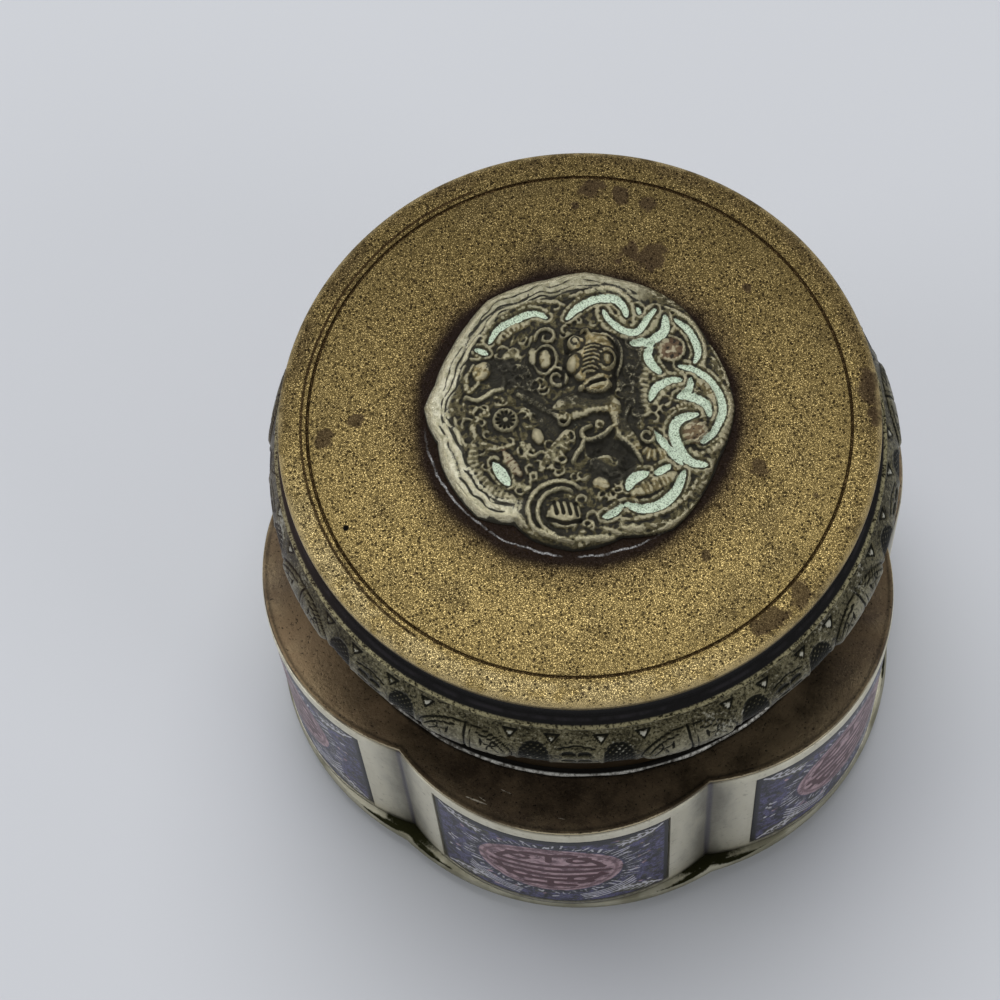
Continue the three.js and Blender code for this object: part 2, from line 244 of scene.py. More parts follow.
def loft(name, rings, closed):
    """A circle of vertices is set on the first ring, then extruded onto each next ring.

    A closed loft joins its last ring to its first; an open one has its two ends filled.
    """
    bpy.ops.object.select_all(action="DESELECT")
    bpy.ops.mesh.primitive_circle_add(vertices=len(rings[0]), radius=MM)
    piece = bpy.context.object
    piece.name = name
    for vertex, point in zip(piece.data.vertices, rings[0]):
        vertex.co = Vector(point) * MM
    bpy.ops.object.mode_set(mode="EDIT")
    bpy.ops.mesh.select_all(action="SELECT")
    for last, ring in zip(rings, rings[1:]):
        finder = KDTree(len(last))
        for i, point in enumerate(last):
            finder.insert(Vector(point) * MM, i)
        finder.balance()
        bpy.ops.mesh.extrude_edges_move()
        for vertex in bmesh.from_edit_mesh(piece.data).verts:
            if vertex.select:
                vertex.co = Vector(ring[finder.find(vertex.co)[1]]) * MM
    bpy.ops.mesh.select_all(action="DESELECT")
    bpy.ops.mesh.select_non_manifold()
    if closed:
        bpy.ops.mesh.bridge_edge_loops()
    else:
        bpy.ops.mesh.fill_holes(sides=0)
    bpy.ops.mesh.select_all(action="SELECT")
    bpy.ops.mesh.normals_make_consistent(inside=False)
    bpy.ops.object.mode_set(mode="OBJECT")
    bpy.ops.object.shade_smooth_by_angle(angle=math.radians(35))
    return piece


def lobe_inset(x, y):
    """How far inside the wall's face each place lies, in millimetres."""
    turns = [FRONT + lobe * 2 * math.pi / LOBES for lobe in range(LOBES)]
    middles = [(WALL_LOBE_OFFSET * math.cos(turn), WALL_LOBE_OFFSET * math.sin(turn)) for turn in turns]
    return WALL_LOBE_RADIUS - np.min([np.hypot(x - cx, y - cy) for cx, cy in middles], axis=0)


def places_of(piece):
    flat = np.empty(len(piece.data.vertices) * 3)
    piece.data.vertices.foreach_get("co", flat)
    return flat.reshape(-1, 3) / MM


def store(piece, name, values):
    """Keep a value on each of the piece's vertices, for its material to read."""
    layer = piece.data.attributes.new(name, "FLOAT", "POINT")
    layer.data.foreach_set("value", values.astype(np.float32))


def fit(piece, finish, slot, *nodes):
    piece.data.materials.append(finish.material)
    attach(piece, "root")
    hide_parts(*nodes)


def foot_ring(inset, z):
    return lobed(FOOT_LOBE_OFFSET, FOOT_LOBE_RADIUS - inset, z)


foot_rings = [foot_ring(FOOT_RING_INSET, FOOT_PLATE_UNDER), foot_ring(FOOT_RING_INSET, 0)]
foot_rings += [foot_ring(inset, z) for inset, z in FOOT_PROFILE]
foot = loft("foot_casting", foot_rings, False)
foot_places = places_of(foot)
foot_inset = lobe_inset(foot_places[:, 0], foot_places[:, 1])
corner = np.clip(-foot_inset - 0.35, 0, 1) * np.clip(2.2 + foot_inset, 0, 1)
store(foot, "corner", corner * (foot_places[:, 2] > FOOT_TOP - 0.4))
foot_brass = Finish("foot_brass", Metallic=1.0, Roughness=0.5)
grain = foot_brass.place.noise(900, 4, 0.7)
patchy = foot_brass.place.noise(160, 3).ramp(0.35, 0.6)
lightened = foot_brass.place.part(2).ramp(3.8 * MM, FOOT_TOP * MM) * patchy
tarnish = foot_brass.place.noise(90, 4).mix(colour(112, 109, 88), colour(168, 164, 142))
shown = (lightened * 0.8).mix(tarnish, colour(202, 198, 178))
# Painted shade in the corner under the wall, dark green with dirt.
corner_shade = foot_brass.attribute("corner")
shown = (corner_shade + (grain - 0.5) * 0.7).ramp(0.3, 0.6).mix(shown, colour(38, 38, 22))
foot_brass.set(Base_Color=shown)
foot_brass.bump(grain, 0.00008)
fit(foot, foot_brass, "foot_brass", "foot")


# Body wall
# Pale brass sheet bent in six lobes and soldered at the folds, where grey dirt has stayed in a thin dark
# seam.
# Painted grey shade spreads on either side of each fold. A field is sunk in each lobe for its enamel; cream
# metal shows round the field.
WALL_LOW = 5.4
WALL_TOP = 40.85
WALL_THICKNESS = 1.2
WALL_CUSP = 43.34
PANEL_HALF_TURN = math.radians(35)
PANEL_EDGE = math.radians(0.15)
PANEL_LOW = 6.3
PANEL_TOP = 38.2
PANEL_SUNK = 0.6

lobe_half = -lobe_turns(WALL_LOBE_OFFSET, WALL_LOBE_RADIUS)[0]
FOLD_GAPS = (0.35, 0.8, 2.0, 3.6)
near_fold = [lobe_half - gap / WALL_LOBE_RADIUS for gap in FOLD_GAPS]
panel_sides = [PANEL_HALF_TURN, PANEL_HALF_TURN + PANEL_EDGE]
wall_turns = lobe_turns(WALL_LOBE_OFFSET, WALL_LOBE_RADIUS)
wall_turns += [side * turn for side in (-1, 1) for turn in near_fold + panel_sides]
wall_turns.sort()


def wall_ring(inset, z, sunk=0):
    def cut(turn):
        return inset + (sunk if abs(turn) <= PANEL_HALF_TURN + PANEL_EDGE / 2 else 0)

    turns = wall_turns
    if inset:
        cusp = -lobe_turns(WALL_LOBE_OFFSET, WALL_LOBE_RADIUS - inset)[0]
        turns = [max(-cusp, min(cusp, turn * cusp / lobe_half)) for turn in wall_turns]
    return lobed(WALL_LOBE_OFFSET, WALL_LOBE_RADIUS, z, turns, cut)


wall_rings = [
    wall_ring(WALL_THICKNESS, WALL_LOW),
    wall_ring(0, WALL_LOW),
    wall_ring(0, PANEL_LOW),
    wall_ring(0, PANEL_LOW + 0.05, PANEL_SUNK),
    wall_ring(0, PANEL_TOP - 0.05, PANEL_SUNK),
    wall_ring(0, PANEL_TOP),
    wall_ring(0, WALL_TOP - 0.4),
    wall_ring(0.08, WALL_TOP - 0.12),
    wall_ring(0.3, WALL_TOP),
    wall_ring(WALL_THICKNESS, WALL_TOP),
]
wall = loft("lobed_wall", wall_rings, True)
wall_places = places_of(wall)
fold_turns = [FRONT + (lobe + 0.5) * 2 * math.pi / LOBES for lobe in range(LOBES)]
fold_far = [
    np.hypot(wall_places[:, 0] - WALL_CUSP * math.cos(turn), wall_places[:, 1] - WALL_CUSP * math.sin(turn))
    for turn in fold_turns
]
for name, reach in (("fold", 0.8), ("fold_shade", 7)):
    store(wall, name, np.clip(1 - np.min(fold_far, axis=0) / reach, 0, 1))
wall_metal = Finish("wall_metal", Metallic=0.8, Roughness=0.42)
place = wall_metal.place
height = place.part(2)
streaks = place.moved((0, 0, 0), (1, 1, 0.25)).noise(260, 4, 0.65)
spots = place.noise(900, 4, 0.7)
cream = streaks.mix(colour(190, 184, 160), colour(244, 239, 220))
cream = (spots.ramp(0.56, 0.72) * 0.45).mix(cream, colour(118, 110, 90))
# The wall is made darker towards the bottom, next to the foot.
low_darkening = 1 - (height + (spots - 0.5) * 0.002).ramp(WALL_LOW * MM, (WALL_LOW + 1.8) * MM)
# Painted shade: a broad mottled grey band on either side of each fold.
fold_shade = (wall_metal.attribute("fold_shade") + (streaks - 0.5) * 0.9).ramp(0.2, 1.0)
cream = (fold_shade * 0.9).mix(cream, colour(104, 100, 86))
fold = (wall_metal.attribute("fold") + (streaks - 0.5) * 0.5).ramp(0.15, 0.75)
cream = (fold * 0.75).mix(cream, colour(74, 70, 80))
wall_metal.set(Base_Color=(low_darkening * 0.8).mix(cream, colour(52, 50, 36)))
wall_metal.bump(spots, 0.00006)
fit(wall, wall_metal, "wall_metal", "body_wall")


# Enamel panels
# Painted enamel fired on each sunk field: a rose roundel of shou-like bars on violet,
# short rays round it, and leaves and curved lines in the corners. Each panel is curved glass.
class Relief:
    """A flat sheet drawn on in millimetres: named layers of one grid."""

    def __init__(self, left, low, right, high, step, layers):
        self.step = step
        self.x = np.arange(left, right + step, step)
        self.y = np.arange(low, high + step, step)
        self.across, self.up = np.meshgrid(self.x, self.y)
        for name in layers:
            setattr(self, name, np.zeros(self.across.shape))

    def window(self, points, reach):
        low = np.min(points, axis=0) - reach
        high = np.max(points, axis=0) + reach
        columns = slice(*np.searchsorted(self.x, (low[0], high[0])))
        rows = slice(*np.searchsorted(self.y, (low[1], high[1])))
        return rows, columns

    def line(self, points, reach):
        """The sheet's window round a smooth line, how far each place is from it, and along it."""
        path = smooth(points)
        where = self.window(path, reach)
        x = self.across[where]
        y = self.up[where]
        best = np.full(x.shape, np.inf)
        along = np.zeros(x.shape)
        run = 0.0
        for (ax, ay), (bx, by) in zip(path, path[1:]):
            length = math.hypot(bx - ax, by - ay) or 1e-9
            share = ((x - ax) * (bx - ax) + (y - ay) * (by - ay)) / length**2
            share = np.clip(share, 0, 1)
            far = np.hypot(x - ax - share * (bx - ax), y - ay - share * (by - ay))
            nearer = far < best
            best[nearer] = far[nearer]
            along[nearer] = run + share[nearer] * length
            run += length
        return where, best, along / run, run

    def paint(self, layer, points, half, level=1.0, soft=0.12):
        where, far, _, _ = self.line(points, half + soft)
        sheet = getattr(self, layer)
        sheet[where] = np.maximum(sheet[where], level * np.clip((half + soft - far) / soft, 0, 1))

    def at(self, layer, x, y):
        """The layer's value at each of the given places, between its grid points."""
        sheet = getattr(self, layer)
        u = np.clip((x - self.x[0]) / self.step, 0, len(self.x) - 1.001)
        v = np.clip((y - self.y[0]) / self.step, 0, len(self.y) - 1.001)
        i = u.astype(int)
        j = v.astype(int)
        u = u - i
        v = v - j
        low = sheet[j, i] * (1 - u) + sheet[j, i + 1] * u
        high = sheet[j + 1, i] * (1 - u) + sheet[j + 1, i + 1] * u
        return low * (1 - v) + high * v


def smooth(points, steps=6):
    """A Catmull-Rom line through the points."""
    p = np.array([points[0], *points, points[-1]], dtype=float)
    path = []
    for a, b, c, d in zip(p, p[1:], p[2:], p[3:]):
        for t in np.arange(steps) / steps:
            path.append(0.5 * (2 * b + (c - a) * t + (2 * a - 5 * b + 4 * c - d) * t**2
                               + (3 * b - a - 3 * c + d) * t**3))
    path.append(p[-1])
    return path


def arc(x, y, radius, start, end, count=9, squash=1.0):
    turns = np.radians(np.linspace(start, end, count))
    return [(x + radius * math.cos(t), y + squash * radius * math.sin(t)) for t in turns]


ENAMEL_FACE = WALL_LOBE_RADIUS - 0.08
ENAMEL_THICKNESS = 0.38
PANEL_HALF_WIDTH = PANEL_HALF_TURN * ENAMEL_FACE - 0.12
PANEL_MIDDLE = (PANEL_LOW + PANEL_TOP) / 2
PANEL_HALF_HEIGHT = (PANEL_TOP - PANEL_LOW) / 2 - 0.12
ROUNDEL_RADIUS = 10.7
ROUNDEL_RISE = 0.9
PANEL_LAYERS = ("rose", "wine", "leaf", "pale", "navy")

sheet = Relief(-18, -16.5, 18, 16.5, 0.08, PANEL_LAYERS)
from_middle = np.hypot(sheet.across, sheet.up - ROUNDEL_RISE)
sheet.rose[:] = np.clip((ROUNDEL_RADIUS - from_middle) / 0.25, 0, 1)
edge = np.minimum(PANEL_HALF_WIDTH - abs(sheet.across), PANEL_HALF_HEIGHT - abs(sheet.up))
sheet.navy[:] = np.clip((1.0 - edge) / 0.5, 0, 1)
sheet.paint("navy", arc(0, ROUNDEL_RISE, 11.5, 0, 360, 48), 0.5, 0.6, 0.6)
# Painted shade along the top of each field, under its sunk top edge, drawn in the navy layer.
sheet.navy[:] = np.maximum(sheet.navy, 0.8 * np.clip((sheet.up - 13.0) / 1.2, 0, 1))
sheet.paint("wine", arc(0, ROUNDEL_RISE, 9.7, 0, 360, 40), 0.22, 0.5, 0.3)
# The roundel's bars: how high each lies, half its length and how much it leans.
ROUNDEL_BARS = [
    (7.6, 3.6, 0.2), (1.9, 7.6, -0.15), (-0.5, 8.4, 0.1), (-2.8, 7.9, 0.25), (-5.2, 5.9, -0.2),
    (-7.5, 3.4, 0.1),
]
for up, half, lean in ROUNDEL_BARS:
    bar = [(-half, up - 0.4 - lean), (-half / 2, up), (0.3, up - lean)]
    bar += [(half / 2, up + 0.1), (half, up - 0.3 + lean)]
    sheet.paint("wine", [(x, y + ROUNDEL_RISE) for x, y in bar], 0.5, 1.0, 0.25)
for start, end, half in ((7.6, 4.2, 0.4), (-8.4, -5.2, 0.45)):
    sheet.paint("wine", [(0, start + ROUNDEL_RISE), (0, end + ROUNDEL_RISE)], half)
for side in (-1, 1):
    for start, end in ((34, 76), (104, 146)):
        sheet.paint("wine", arc(0, ROUNDEL_RISE, 7.7, 90 - side * start, 90 - side * end, 8), 0.4)
    for end in (-1, 1):
        curl = arc(side * 4.4, ROUNDEL_RISE + end * (4.7 + 0.6 * end), 1.5, 30, 340, 9, 0.8)
        sheet.paint("wine", curl, 0.36, 1.0, 0.2)

# Short rays round the roundel, leaves in the corners, curved lines below it, and small petals.
RAYS = 84
PETALS = 240
brush = np.random.default_rng(5)
for ray in range(RAYS):
    turn = 2 * math.pi * (ray + brush.uniform(-0.35, 0.35)) / RAYS
    long = (2.4 if abs(math.cos(turn)) > 0.72 else 1.2) * brush.uniform(0.4, 1.3)
    start = 11.2 + brush.uniform(-0.3, 0.5)
    bow = brush.uniform(-0.05, 0.05)
    ends = ((start, turn), (start + long, turn + bow))
    ends = [(r * math.cos(t), r * math.sin(t) + ROUNDEL_RISE) for r, t in ends]
    sheet.paint("pale", ends, brush.uniform(0.05, 0.14), brush.uniform(0.6, 1.0), 0.12)
for side in (-1, 1):
    for end in (-1, 1):
        corner = Vector((side * (PANEL_HALF_WIDTH - 1.1), end * (PANEL_HALF_HEIGHT - 1.1)))
        inner = Vector((side * (PANEL_HALF_WIDTH - 7.6), end * (PANEL_HALF_HEIGHT - 4.4)))
        bow = (corner + inner) / 2 + Vector((side * 0.6, -end * 0.6))
        sheet.paint("pale", [corner, bow, inner], 0.17, 1.0)
        for step in range(1, 6):
            root = corner + (inner - corner) * step / 6
            for turn in (-0.75, 0.75):
                vein = (inner - corner) / 6
                vein.rotate(Matrix.Rotation(turn, 2))
                sheet.paint("pale", [root, root + vein * 1.25], 0.13, 0.9, 0.08)
                sheet.paint("leaf", [root, root + vein * 1.5], 0.42, 0.75, 0.25)
    for gap in (0.0, 0.75, 1.5, 2.4):
        wave = arc(side * 1.2, ROUNDEL_RISE, 13.1 + gap, -90 + side * 14, -90 + side * (56 - gap * 4), 14)
        sheet.paint("pale", wave, 0.14, 0.9, 0.1)
for petal in range(PETALS):
    x = brush.uniform(-1, 1) * (PANEL_HALF_WIDTH - 1.4)
    y = brush.uniform(-1, 1) * (PANEL_HALF_HEIGHT - 1.4)
    turn = brush.uniform(0, math.pi)
    size = brush.uniform(0.25, 0.8)
    if math.hypot(x, y - ROUNDEL_RISE) > 12.4:
        layer = ("leaf", "navy", "pale", "navy", "rose", "leaf")[petal % 6]
        tip = (x + size * math.cos(turn), y + size * math.sin(turn))
        sheet.paint(layer, [(x, y), tip], 0.2, 0.85, 0.15)
sheet.paint("pale", [(0, 11.3 + ROUNDEL_RISE), (0, 11.3 + ROUNDEL_RISE)], 0.3)

PANEL_GRID = (180, 140)
panel_enamel = Finish("panel_enamel", Roughness=0.34, Specular_IOR_Level=0.22)
place = panel_enamel.place
fleck = place.noise(3200, 3, 0.7)
cloud = place.noise(620, 4, 0.65)
violet = cloud.ramp(0.4, 0.6).mix(colour(14, 14, 26), colour(86, 83, 124))
violet = (fleck.ramp(0.6, 0.72) * 0.8).mix(violet, colour(160, 158, 186))
violet = (1 - fleck.ramp(0.38, 0.48)).mix(violet, colour(8, 8, 16))
pink = cloud.ramp(0.38, 0.62).mix(colour(98, 66, 76), colour(184, 152, 158))
pink = (fleck.ramp(0.55, 0.7) * 0.7).mix(pink, colour(216, 196, 198))
ragged = (fleck - 0.5) * 1.2 + (cloud - 0.5) * 1.1
leaf_green = cloud.mix(colour(20, 22, 12), colour(92, 90, 60))
# Each painted layer, from the ground up: how ragged its edge is, where it begins and is full, its paint.
PAINTS = [
    ("rose", 0.5, 0.3, 0.7, pink), ("leaf", 1.0, 0.25, 0.75, leaf_green),
    ("navy", 0.4, 0.3, 0.8, colour(8, 8, 18)), ("pale", 0.8, 0.3, 0.75, colour(196, 194, 200)),
    ("wine", 0.6, 0.25, 0.75, colour(70, 20, 32)),
]
shown = violet
for layer, rough_edge, begins, full, paint in PAINTS:
    shown = (panel_enamel.attribute(layer) + ragged * rough_edge).ramp(begins, full).mix(shown, paint)
panel_enamel.set(Base_Color=shown)
panel_enamel.bump(panel_enamel.attribute("wine") + fleck * 0.6, 0.00004)

bpy.ops.object.select_all(action="DESELECT")
bpy.ops.mesh.primitive_grid_add(x_subdivisions=PANEL_GRID[0], y_subdivisions=PANEL_GRID[1], size=2)
first_panel = bpy.context.object
flat = places_of(first_panel) * MM
across = flat[:, 0] * PANEL_HALF_WIDTH
up = flat[:, 1] * PANEL_HALF_HEIGHT
for layer in PANEL_LAYERS:
    store(first_panel, layer, sheet.at(layer, across, up))
from_edge = np.minimum(PANEL_HALF_WIDTH - abs(across), PANEL_HALF_HEIGHT - abs(up))
rounding = np.clip(from_edge / 0.5, 0, 1)
face = ENAMEL_FACE - 0.14 * (1 - rounding) ** 2
for number in range(LOBES):
    panel = first_panel if number == LOBES - 1 else first_panel.copy()
    if panel is not first_panel:
        panel.data = first_panel.data.copy()
        bpy.context.scene.collection.objects.link(panel)
    panel.name = f"enamel_{number + 1}"
    axis = FRONT + number * 2 * math.pi / LOBES
    turn = axis + across / ENAMEL_FACE
    x = WALL_LOBE_OFFSET * math.cos(axis) + face * np.cos(turn)
    y = WALL_LOBE_OFFSET * math.sin(axis) + face * np.sin(turn)
    bent = np.stack([x, y, PANEL_MIDDLE + up], 1) * MM
    panel.data.vertices.foreach_set("co", bent.ravel())
    bpy.ops.object.select_all(action="DESELECT")
    panel.select_set(True)
    bpy.context.view_layer.objects.active = panel
    solidify = panel.modifiers.new("thickness", "SOLIDIFY")
    solidify.thickness = ENAMEL_THICKNESS * MM
    solidify.offset = -1
    bpy.ops.object.modifier_apply(modifier="thickness")
    bpy.ops.object.shade_smooth_by_angle(angle=math.radians(40))
    fit(panel, panel_enamel, "enamel", f"enamel_panel_{number + 1}")


# Shoulder plate
# A brass sheet laid over the wall, gone dark brown, its edge rubbed bright by handling.
# It is softly dented and has a few fine scratches and specks of dust. Painted light makes its front lighter
# on the left and right, painted shade darkens a line along a crease inside its edge, and painted shadow
# blackens it round the neck, under the lid's band.
SHOULDER_TOP = 41.85
SHOULDER_UNDER = 41.05
MOUTH_RADIUS = 35.8
PLATE_INSET = 0.15
NECK_SHADE = (38.7, 39.3)
# How far each ring lies from the mouth to the edge, as a share, closer together near the edge.
PLATE_SHARES = (0.0, 0.12, 0.25, 0.4, 0.55, 0.7, 0.8, 0.87, 0.9, 0.925, 0.95, 0.97, 0.985)


def plate_ring(share, z, sag=0.0, inset=PLATE_INSET):
    inner = circle(MOUTH_RADIUS, z, LOBES * LOBE_STEPS)
    outer = lobed(WALL_LOBE_OFFSET, WALL_LOBE_RADIUS - inset, z)
    ring = []
    for (ax, ay, _), (bx, by, _) in zip(inner, outer):
        x = ax + share * (bx - ax)
        y = ay + share * (by - ay)
        dent = 0.1 * math.sin(x * 0.31 + 1.2) * math.sin(y * 0.27 - 0.4)
        ring.append((x, y, z - sag * math.sin(math.pi * share) * (0.12 + dent)))
    return ring


plate_rings = [plate_ring(share, SHOULDER_UNDER) for share in PLATE_SHARES]
plate_rings += [plate_ring(1, SHOULDER_UNDER, 0, 0.3), plate_ring(1, SHOULDER_UNDER + 0.15)]
plate_rings += [plate_ring(1, SHOULDER_TOP - 0.25), plate_ring(1, SHOULDER_TOP - 0.06, 0, 0.28)]
plate_rings += [plate_ring(share, SHOULDER_TOP, 1) for share in reversed(PLATE_SHARES)]
plate = loft("shoulder_sheet", plate_rings, True)
plate_places = places_of(plate)
plate_inset = lobe_inset(plate_places[:, 0], plate_places[:, 1])
store(plate, "rubbed", np.clip(1.6 - plate_inset / 0.25, 0, 1) * (plate_places[:, 2] > SHOULDER_TOP - 0.35))
store(plate, "crease_shade", np.clip(1 - abs(plate_inset - 0.75) / 0.35, 0, 1))
store(plate, "rimward", np.clip(1 - plate_inset / 3.5, 0, 1))
dark_brass = Finish("dark_brass", Metallic=0.85, Roughness=0.4)
place = dark_brass.place
patches = place.noise(120, 5, 0.6).ramp(0.38, 0.66)
brown = patches.mix(colour(68, 57, 45), colour(102, 86, 66))
# Painted light: the front of the plate is made lighter on its left and on its right.
frontward = 1 - place.part(1).ramp(-30 * MM, -14 * MM)
leftward = (1 - place.part(0).ramp(-42 * MM, -4 * MM)) * frontward
brown = (leftward * 0.7).mix(brown, patches.mix(colour(118, 100, 74), colour(162, 136, 104)))
rightward = place.part(0).ramp(2 * MM, 40 * MM) * frontward
brown = (rightward * 0.7).mix(brown, patches.mix(colour(92, 80, 60), colour(128, 112, 86)))
edgeward = dark_brass.attribute("rimward") * place.noise(260, 4).ramp(0.42, 0.6) * 0.3
brown = edgeward.mix(brown, colour(142, 126, 96))
# Painted shadow: the plate goes nearly black round the neck, under the lid's band.
by_neck = 1 - place.moved((0, 0, 0), (1, 1, 0)).away((0, 0, 0)).ramp(NECK_SHADE[0] * MM, NECK_SHADE[1] * MM)
brown = (by_neck * 0.9).mix(brown, colour(15, 13, 10))
# Painted shade: a dark line along a crease just inside the plate's edge.
brown = (dark_brass.attribute("crease_shade") * 0.75).mix(brown, colour(26, 22, 16))
fine = place.noise(2600, 3, 0.7)
brown = (fine.ramp(0.56, 0.7) * 0.35).mix(brown, colour(128, 112, 84))
brown = (1 - fine.ramp(0.3, 0.42)).mix(brown, colour(26, 22, 16))
# Scratches as middles on the plate, the way they lie and half their lengths.
SCRATCHES = [
    (-10.0, -43.5, -0.27, 1.7), (-9.2, -43.2, -0.5, 0.7), (-5.8, -41.9, -0.33, 1.3),
    (1.8, -44.8, -0.1, 0.9), (30.0, -27.5, 0.9, 1.2), (-27.0, -29.5, -0.6, 1.4),
]
for mark_x, mark_y, lean, size in SCRATCHES:
    middle = Vector((mark_x, mark_y, SHOULDER_TOP)) * MM
    along = Vector((math.cos(lean), math.sin(lean), 0)) * size * MM
    ellipse = place.away(middle - along) + place.away(middle + along) - 2 * size * MM
    scratch = 1 - ellipse.ramp(0.002 * MM, 0.012 * MM)
    brown = (scratch * fine.ramp(0.35, 0.5)).mix(brown, colour(206, 198, 178))
rubbed = (dark_brass.attribute("rubbed") + (fine - 0.5) * 0.9).ramp(0.45, 0.85)
handled = place.noise(70, 3).ramp(0.42, 0.56)
worn_tone = handled.mix(colour(84, 74, 54), colour(206, 192, 156))
dark_brass.set(Base_Color=rubbed.mix(brown, worn_tone))
dark_brass.set(Roughness=0.4 + 0.2 * patches)
dark_brass.bump(place.noise(500, 4) + fine, 0.00006)
fit(plate, dark_brass, "dark_brass", "shoulder_plate")


# Neck
# A plain tube that the lid slides over, with a rough line of solder round its foot, bright at its outer
# edge and near black nearer the neck, with painted shadow under the lid's band and dark flux.
NECK_RADIUS = 37.9
NECK_THICKNESS = 0.9
NECK_LOW = 42.05
NECK_TOP = 72.7
NECK_COUNT = 384
SOLDER_LUMPS = np.random.default_rng(3).uniform(-1, 1, 24)
SOLDER_BRIGHT = (38.4, 38.65)


def solder_ring(radius, z, rough):
    ring = []
    for x, y, _ in circle(1, 0, NECK_COUNT):
        turn = math.atan2(y, x)
        lump = 0.0
        for k, size in enumerate(SOLDER_LUMPS):
            lump += size * math.sin((k + 6) * turn + 5 * size) / 5
        r = radius + rough * lump
        ring.append((r * x, r * y, z + 0.3 * rough * lump))
    return ring


neck_inner = NECK_RADIUS - NECK_THICKNESS
neck_rings = [
    solder_ring(neck_inner, NECK_LOW, 0),
    solder_ring(NECK_RADIUS + 0.9, NECK_LOW - 0.16, 0.14),
    solder_ring(NECK_RADIUS + 0.8, NECK_LOW + 0.02, 0.13),
    solder_ring(NECK_RADIUS + 0.55, NECK_LOW + 0.16, 0.1),
    solder_ring(NECK_RADIUS + 0.25, NECK_LOW + 0.22, 0.05),
    solder_ring(NECK_RADIUS, NECK_LOW + 0.5, 0),
    solder_ring(NECK_RADIUS, NECK_TOP - 0.3, 0),
    solder_ring(NECK_RADIUS - 0.3, NECK_TOP, 0),
    solder_ring(neck_inner, NECK_TOP, 0),
]
neck = loft("neck_tube", neck_rings, True)
neck_brass = Finish("neck_brass", Metallic=0.9, Roughness=0.5)
place = neck_brass.place
solder = 1 - place.part(2).ramp((NECK_LOW + 0.45) * MM, (NECK_LOW + 0.8) * MM)
blotch = place.noise(1100, 4, 0.7).ramp(0.36, 0.6)
tin = blotch.mix(colour(86, 82, 74), colour(222, 220, 212))
# Painted shadow with dark flux: the solder is near black except at its outer edge.
outward = place.moved((0, 0, 0), (1, 1, 0)).away((0, 0, 0))
outward = outward.ramp(SOLDER_BRIGHT[0] * MM, SOLDER_BRIGHT[1] * MM)
tin = outward.mix(colour(22, 20, 17), tin)
drawn_marks = place.moved((0, 0, 0), (0.2, 0.2, 1)).noise(900, 3)
drawn_brass = drawn_marks.mix(colour(60, 48, 34), colour(104, 86, 60))
neck_brass.set(Base_Color=solder.mix(drawn_brass, tin))
neck_brass.bump(place.noise(900, 4), 0.0001)
fit(neck, neck_brass, "dark_brass", "neck")


# Lid shell
# The drum of the lid, pressed from sheet, with a swelling band between two beads.
# The band is chased with low oval cartouches, dark netted ovals, trigrams and small bright teeth.
DRUM_RADIUS = 39.4
DRUM_INNER = 38.4
DRUM_TOP = 73.9
CAP_LOW = 54.0
BAND_TOP = 69.4
BAND_LOW = 58.6
BAND_HEIGHT = BAND_TOP - BAND_LOW
BEAD_RADIUS = 41.0
BAND_EDGE = 40.7
BAND_SWELL = 2.2
# The real lid is out of true: its band swells a little less in all, and least on the left and behind.
BAND_LESS = 0.2
BAND_LEAN = (0.5, -0.8)
COVE_HEIGHT = 1.8
SEAT_INNER = 34.0
REPEATS = 9
REPEAT_TURN = 2 * math.pi / REPEATS
REPEAT_WIDTH = REPEAT_TURN * (BAND_EDGE + BAND_SWELL)
CARTOUCHE_TURN = math.radians(-64.4)
BAND_COUNT = 1260
BAND_STEPS = 46
BAND_MIDDLE = 5.4
CARTOUCHE_HALF = 6.4
CARTOUCHE_RISE = 3.5
NET_PLACE = 9.4
NET_PITCH = 0.86
TRIGRAM_PLACE = REPEAT_WIDTH / 2 - 1.05
TRIGRAM_BOX = [(-0.72, -0.34), (0.72, -0.34), (0.72, 0.34), (-0.72, 0.34), (-0.72, -0.34)]
TEETH_PLACES = (REPEAT_WIDTH / 2 - 3.3, REPEAT_WIDTH / 2 - 9.0)
BAND_LAYERS = ("rise", "sunk", "shine", "smooth")

band = Relief(-REPEAT_WIDTH / 2, 0, REPEAT_WIDTH / 2, BAND_HEIGHT, 0.06, BAND_LAYERS)


def chase(points, half=0.11, depth=0.14):
    """A thin line punched in the band, dark with dirt."""
    where, far, _, _ = band.line(points, half + 0.1)
    line = np.clip((half + 0.1 - far) / 0.1, 0, 1)
    band.rise[where] -= depth * line
    band.sunk[where] = np.maximum(band.sunk[where], line)


def oval(x, y, wide, tall, power=2.0):
    """One inside an oval and falling to nothing at its edge, over the whole sheet."""
    reach = (abs(band.across - x) / wide) ** power + (abs(band.up - y) / tall) ** power
    return np.clip((1 - reach) * 4, 0, 1)


# One quarter of a cartouche's cut lines, from its middle, with half their widths.
CARTOUCHE_CUTS = [
    ([(5.6, 0.8), (4.6, 2.0), (3.0, 2.75), (1.5, 3.0)], 0.08),
    ([(4.9, 0.3), (3.9, 1.3), (2.4, 1.9)], 0.07),
    ([(2.4, 1.2), (2.3, 2.3)], 0.1),
    ([(3.2, 0.5), (3.3, 1.2)], 0.08),
]
lens = oval(0, BAND_MIDDLE, CARTOUCHE_HALF, CARTOUCHE_RISE, 2.4)
band.rise += 0.42 * lens
band.smooth += lens
around = np.linspace(0, 2 * math.pi, 41)
outline = [(CARTOUCHE_HALF * math.cos(t), CARTOUCHE_RISE * math.sin(t)) for t in around]
chase([(x * 1.02, BAND_MIDDLE + y * 1.04) for x, y in outline], 0.07, 0.1)
chase([(-0.1, 8.9), (0.15, 5.4), (0, 1.9)], 0.14, 0.2)
chase([(0.75, 8.6), (1.0, 5.4), (0.75, 2.2)], 0.05, 0.08)
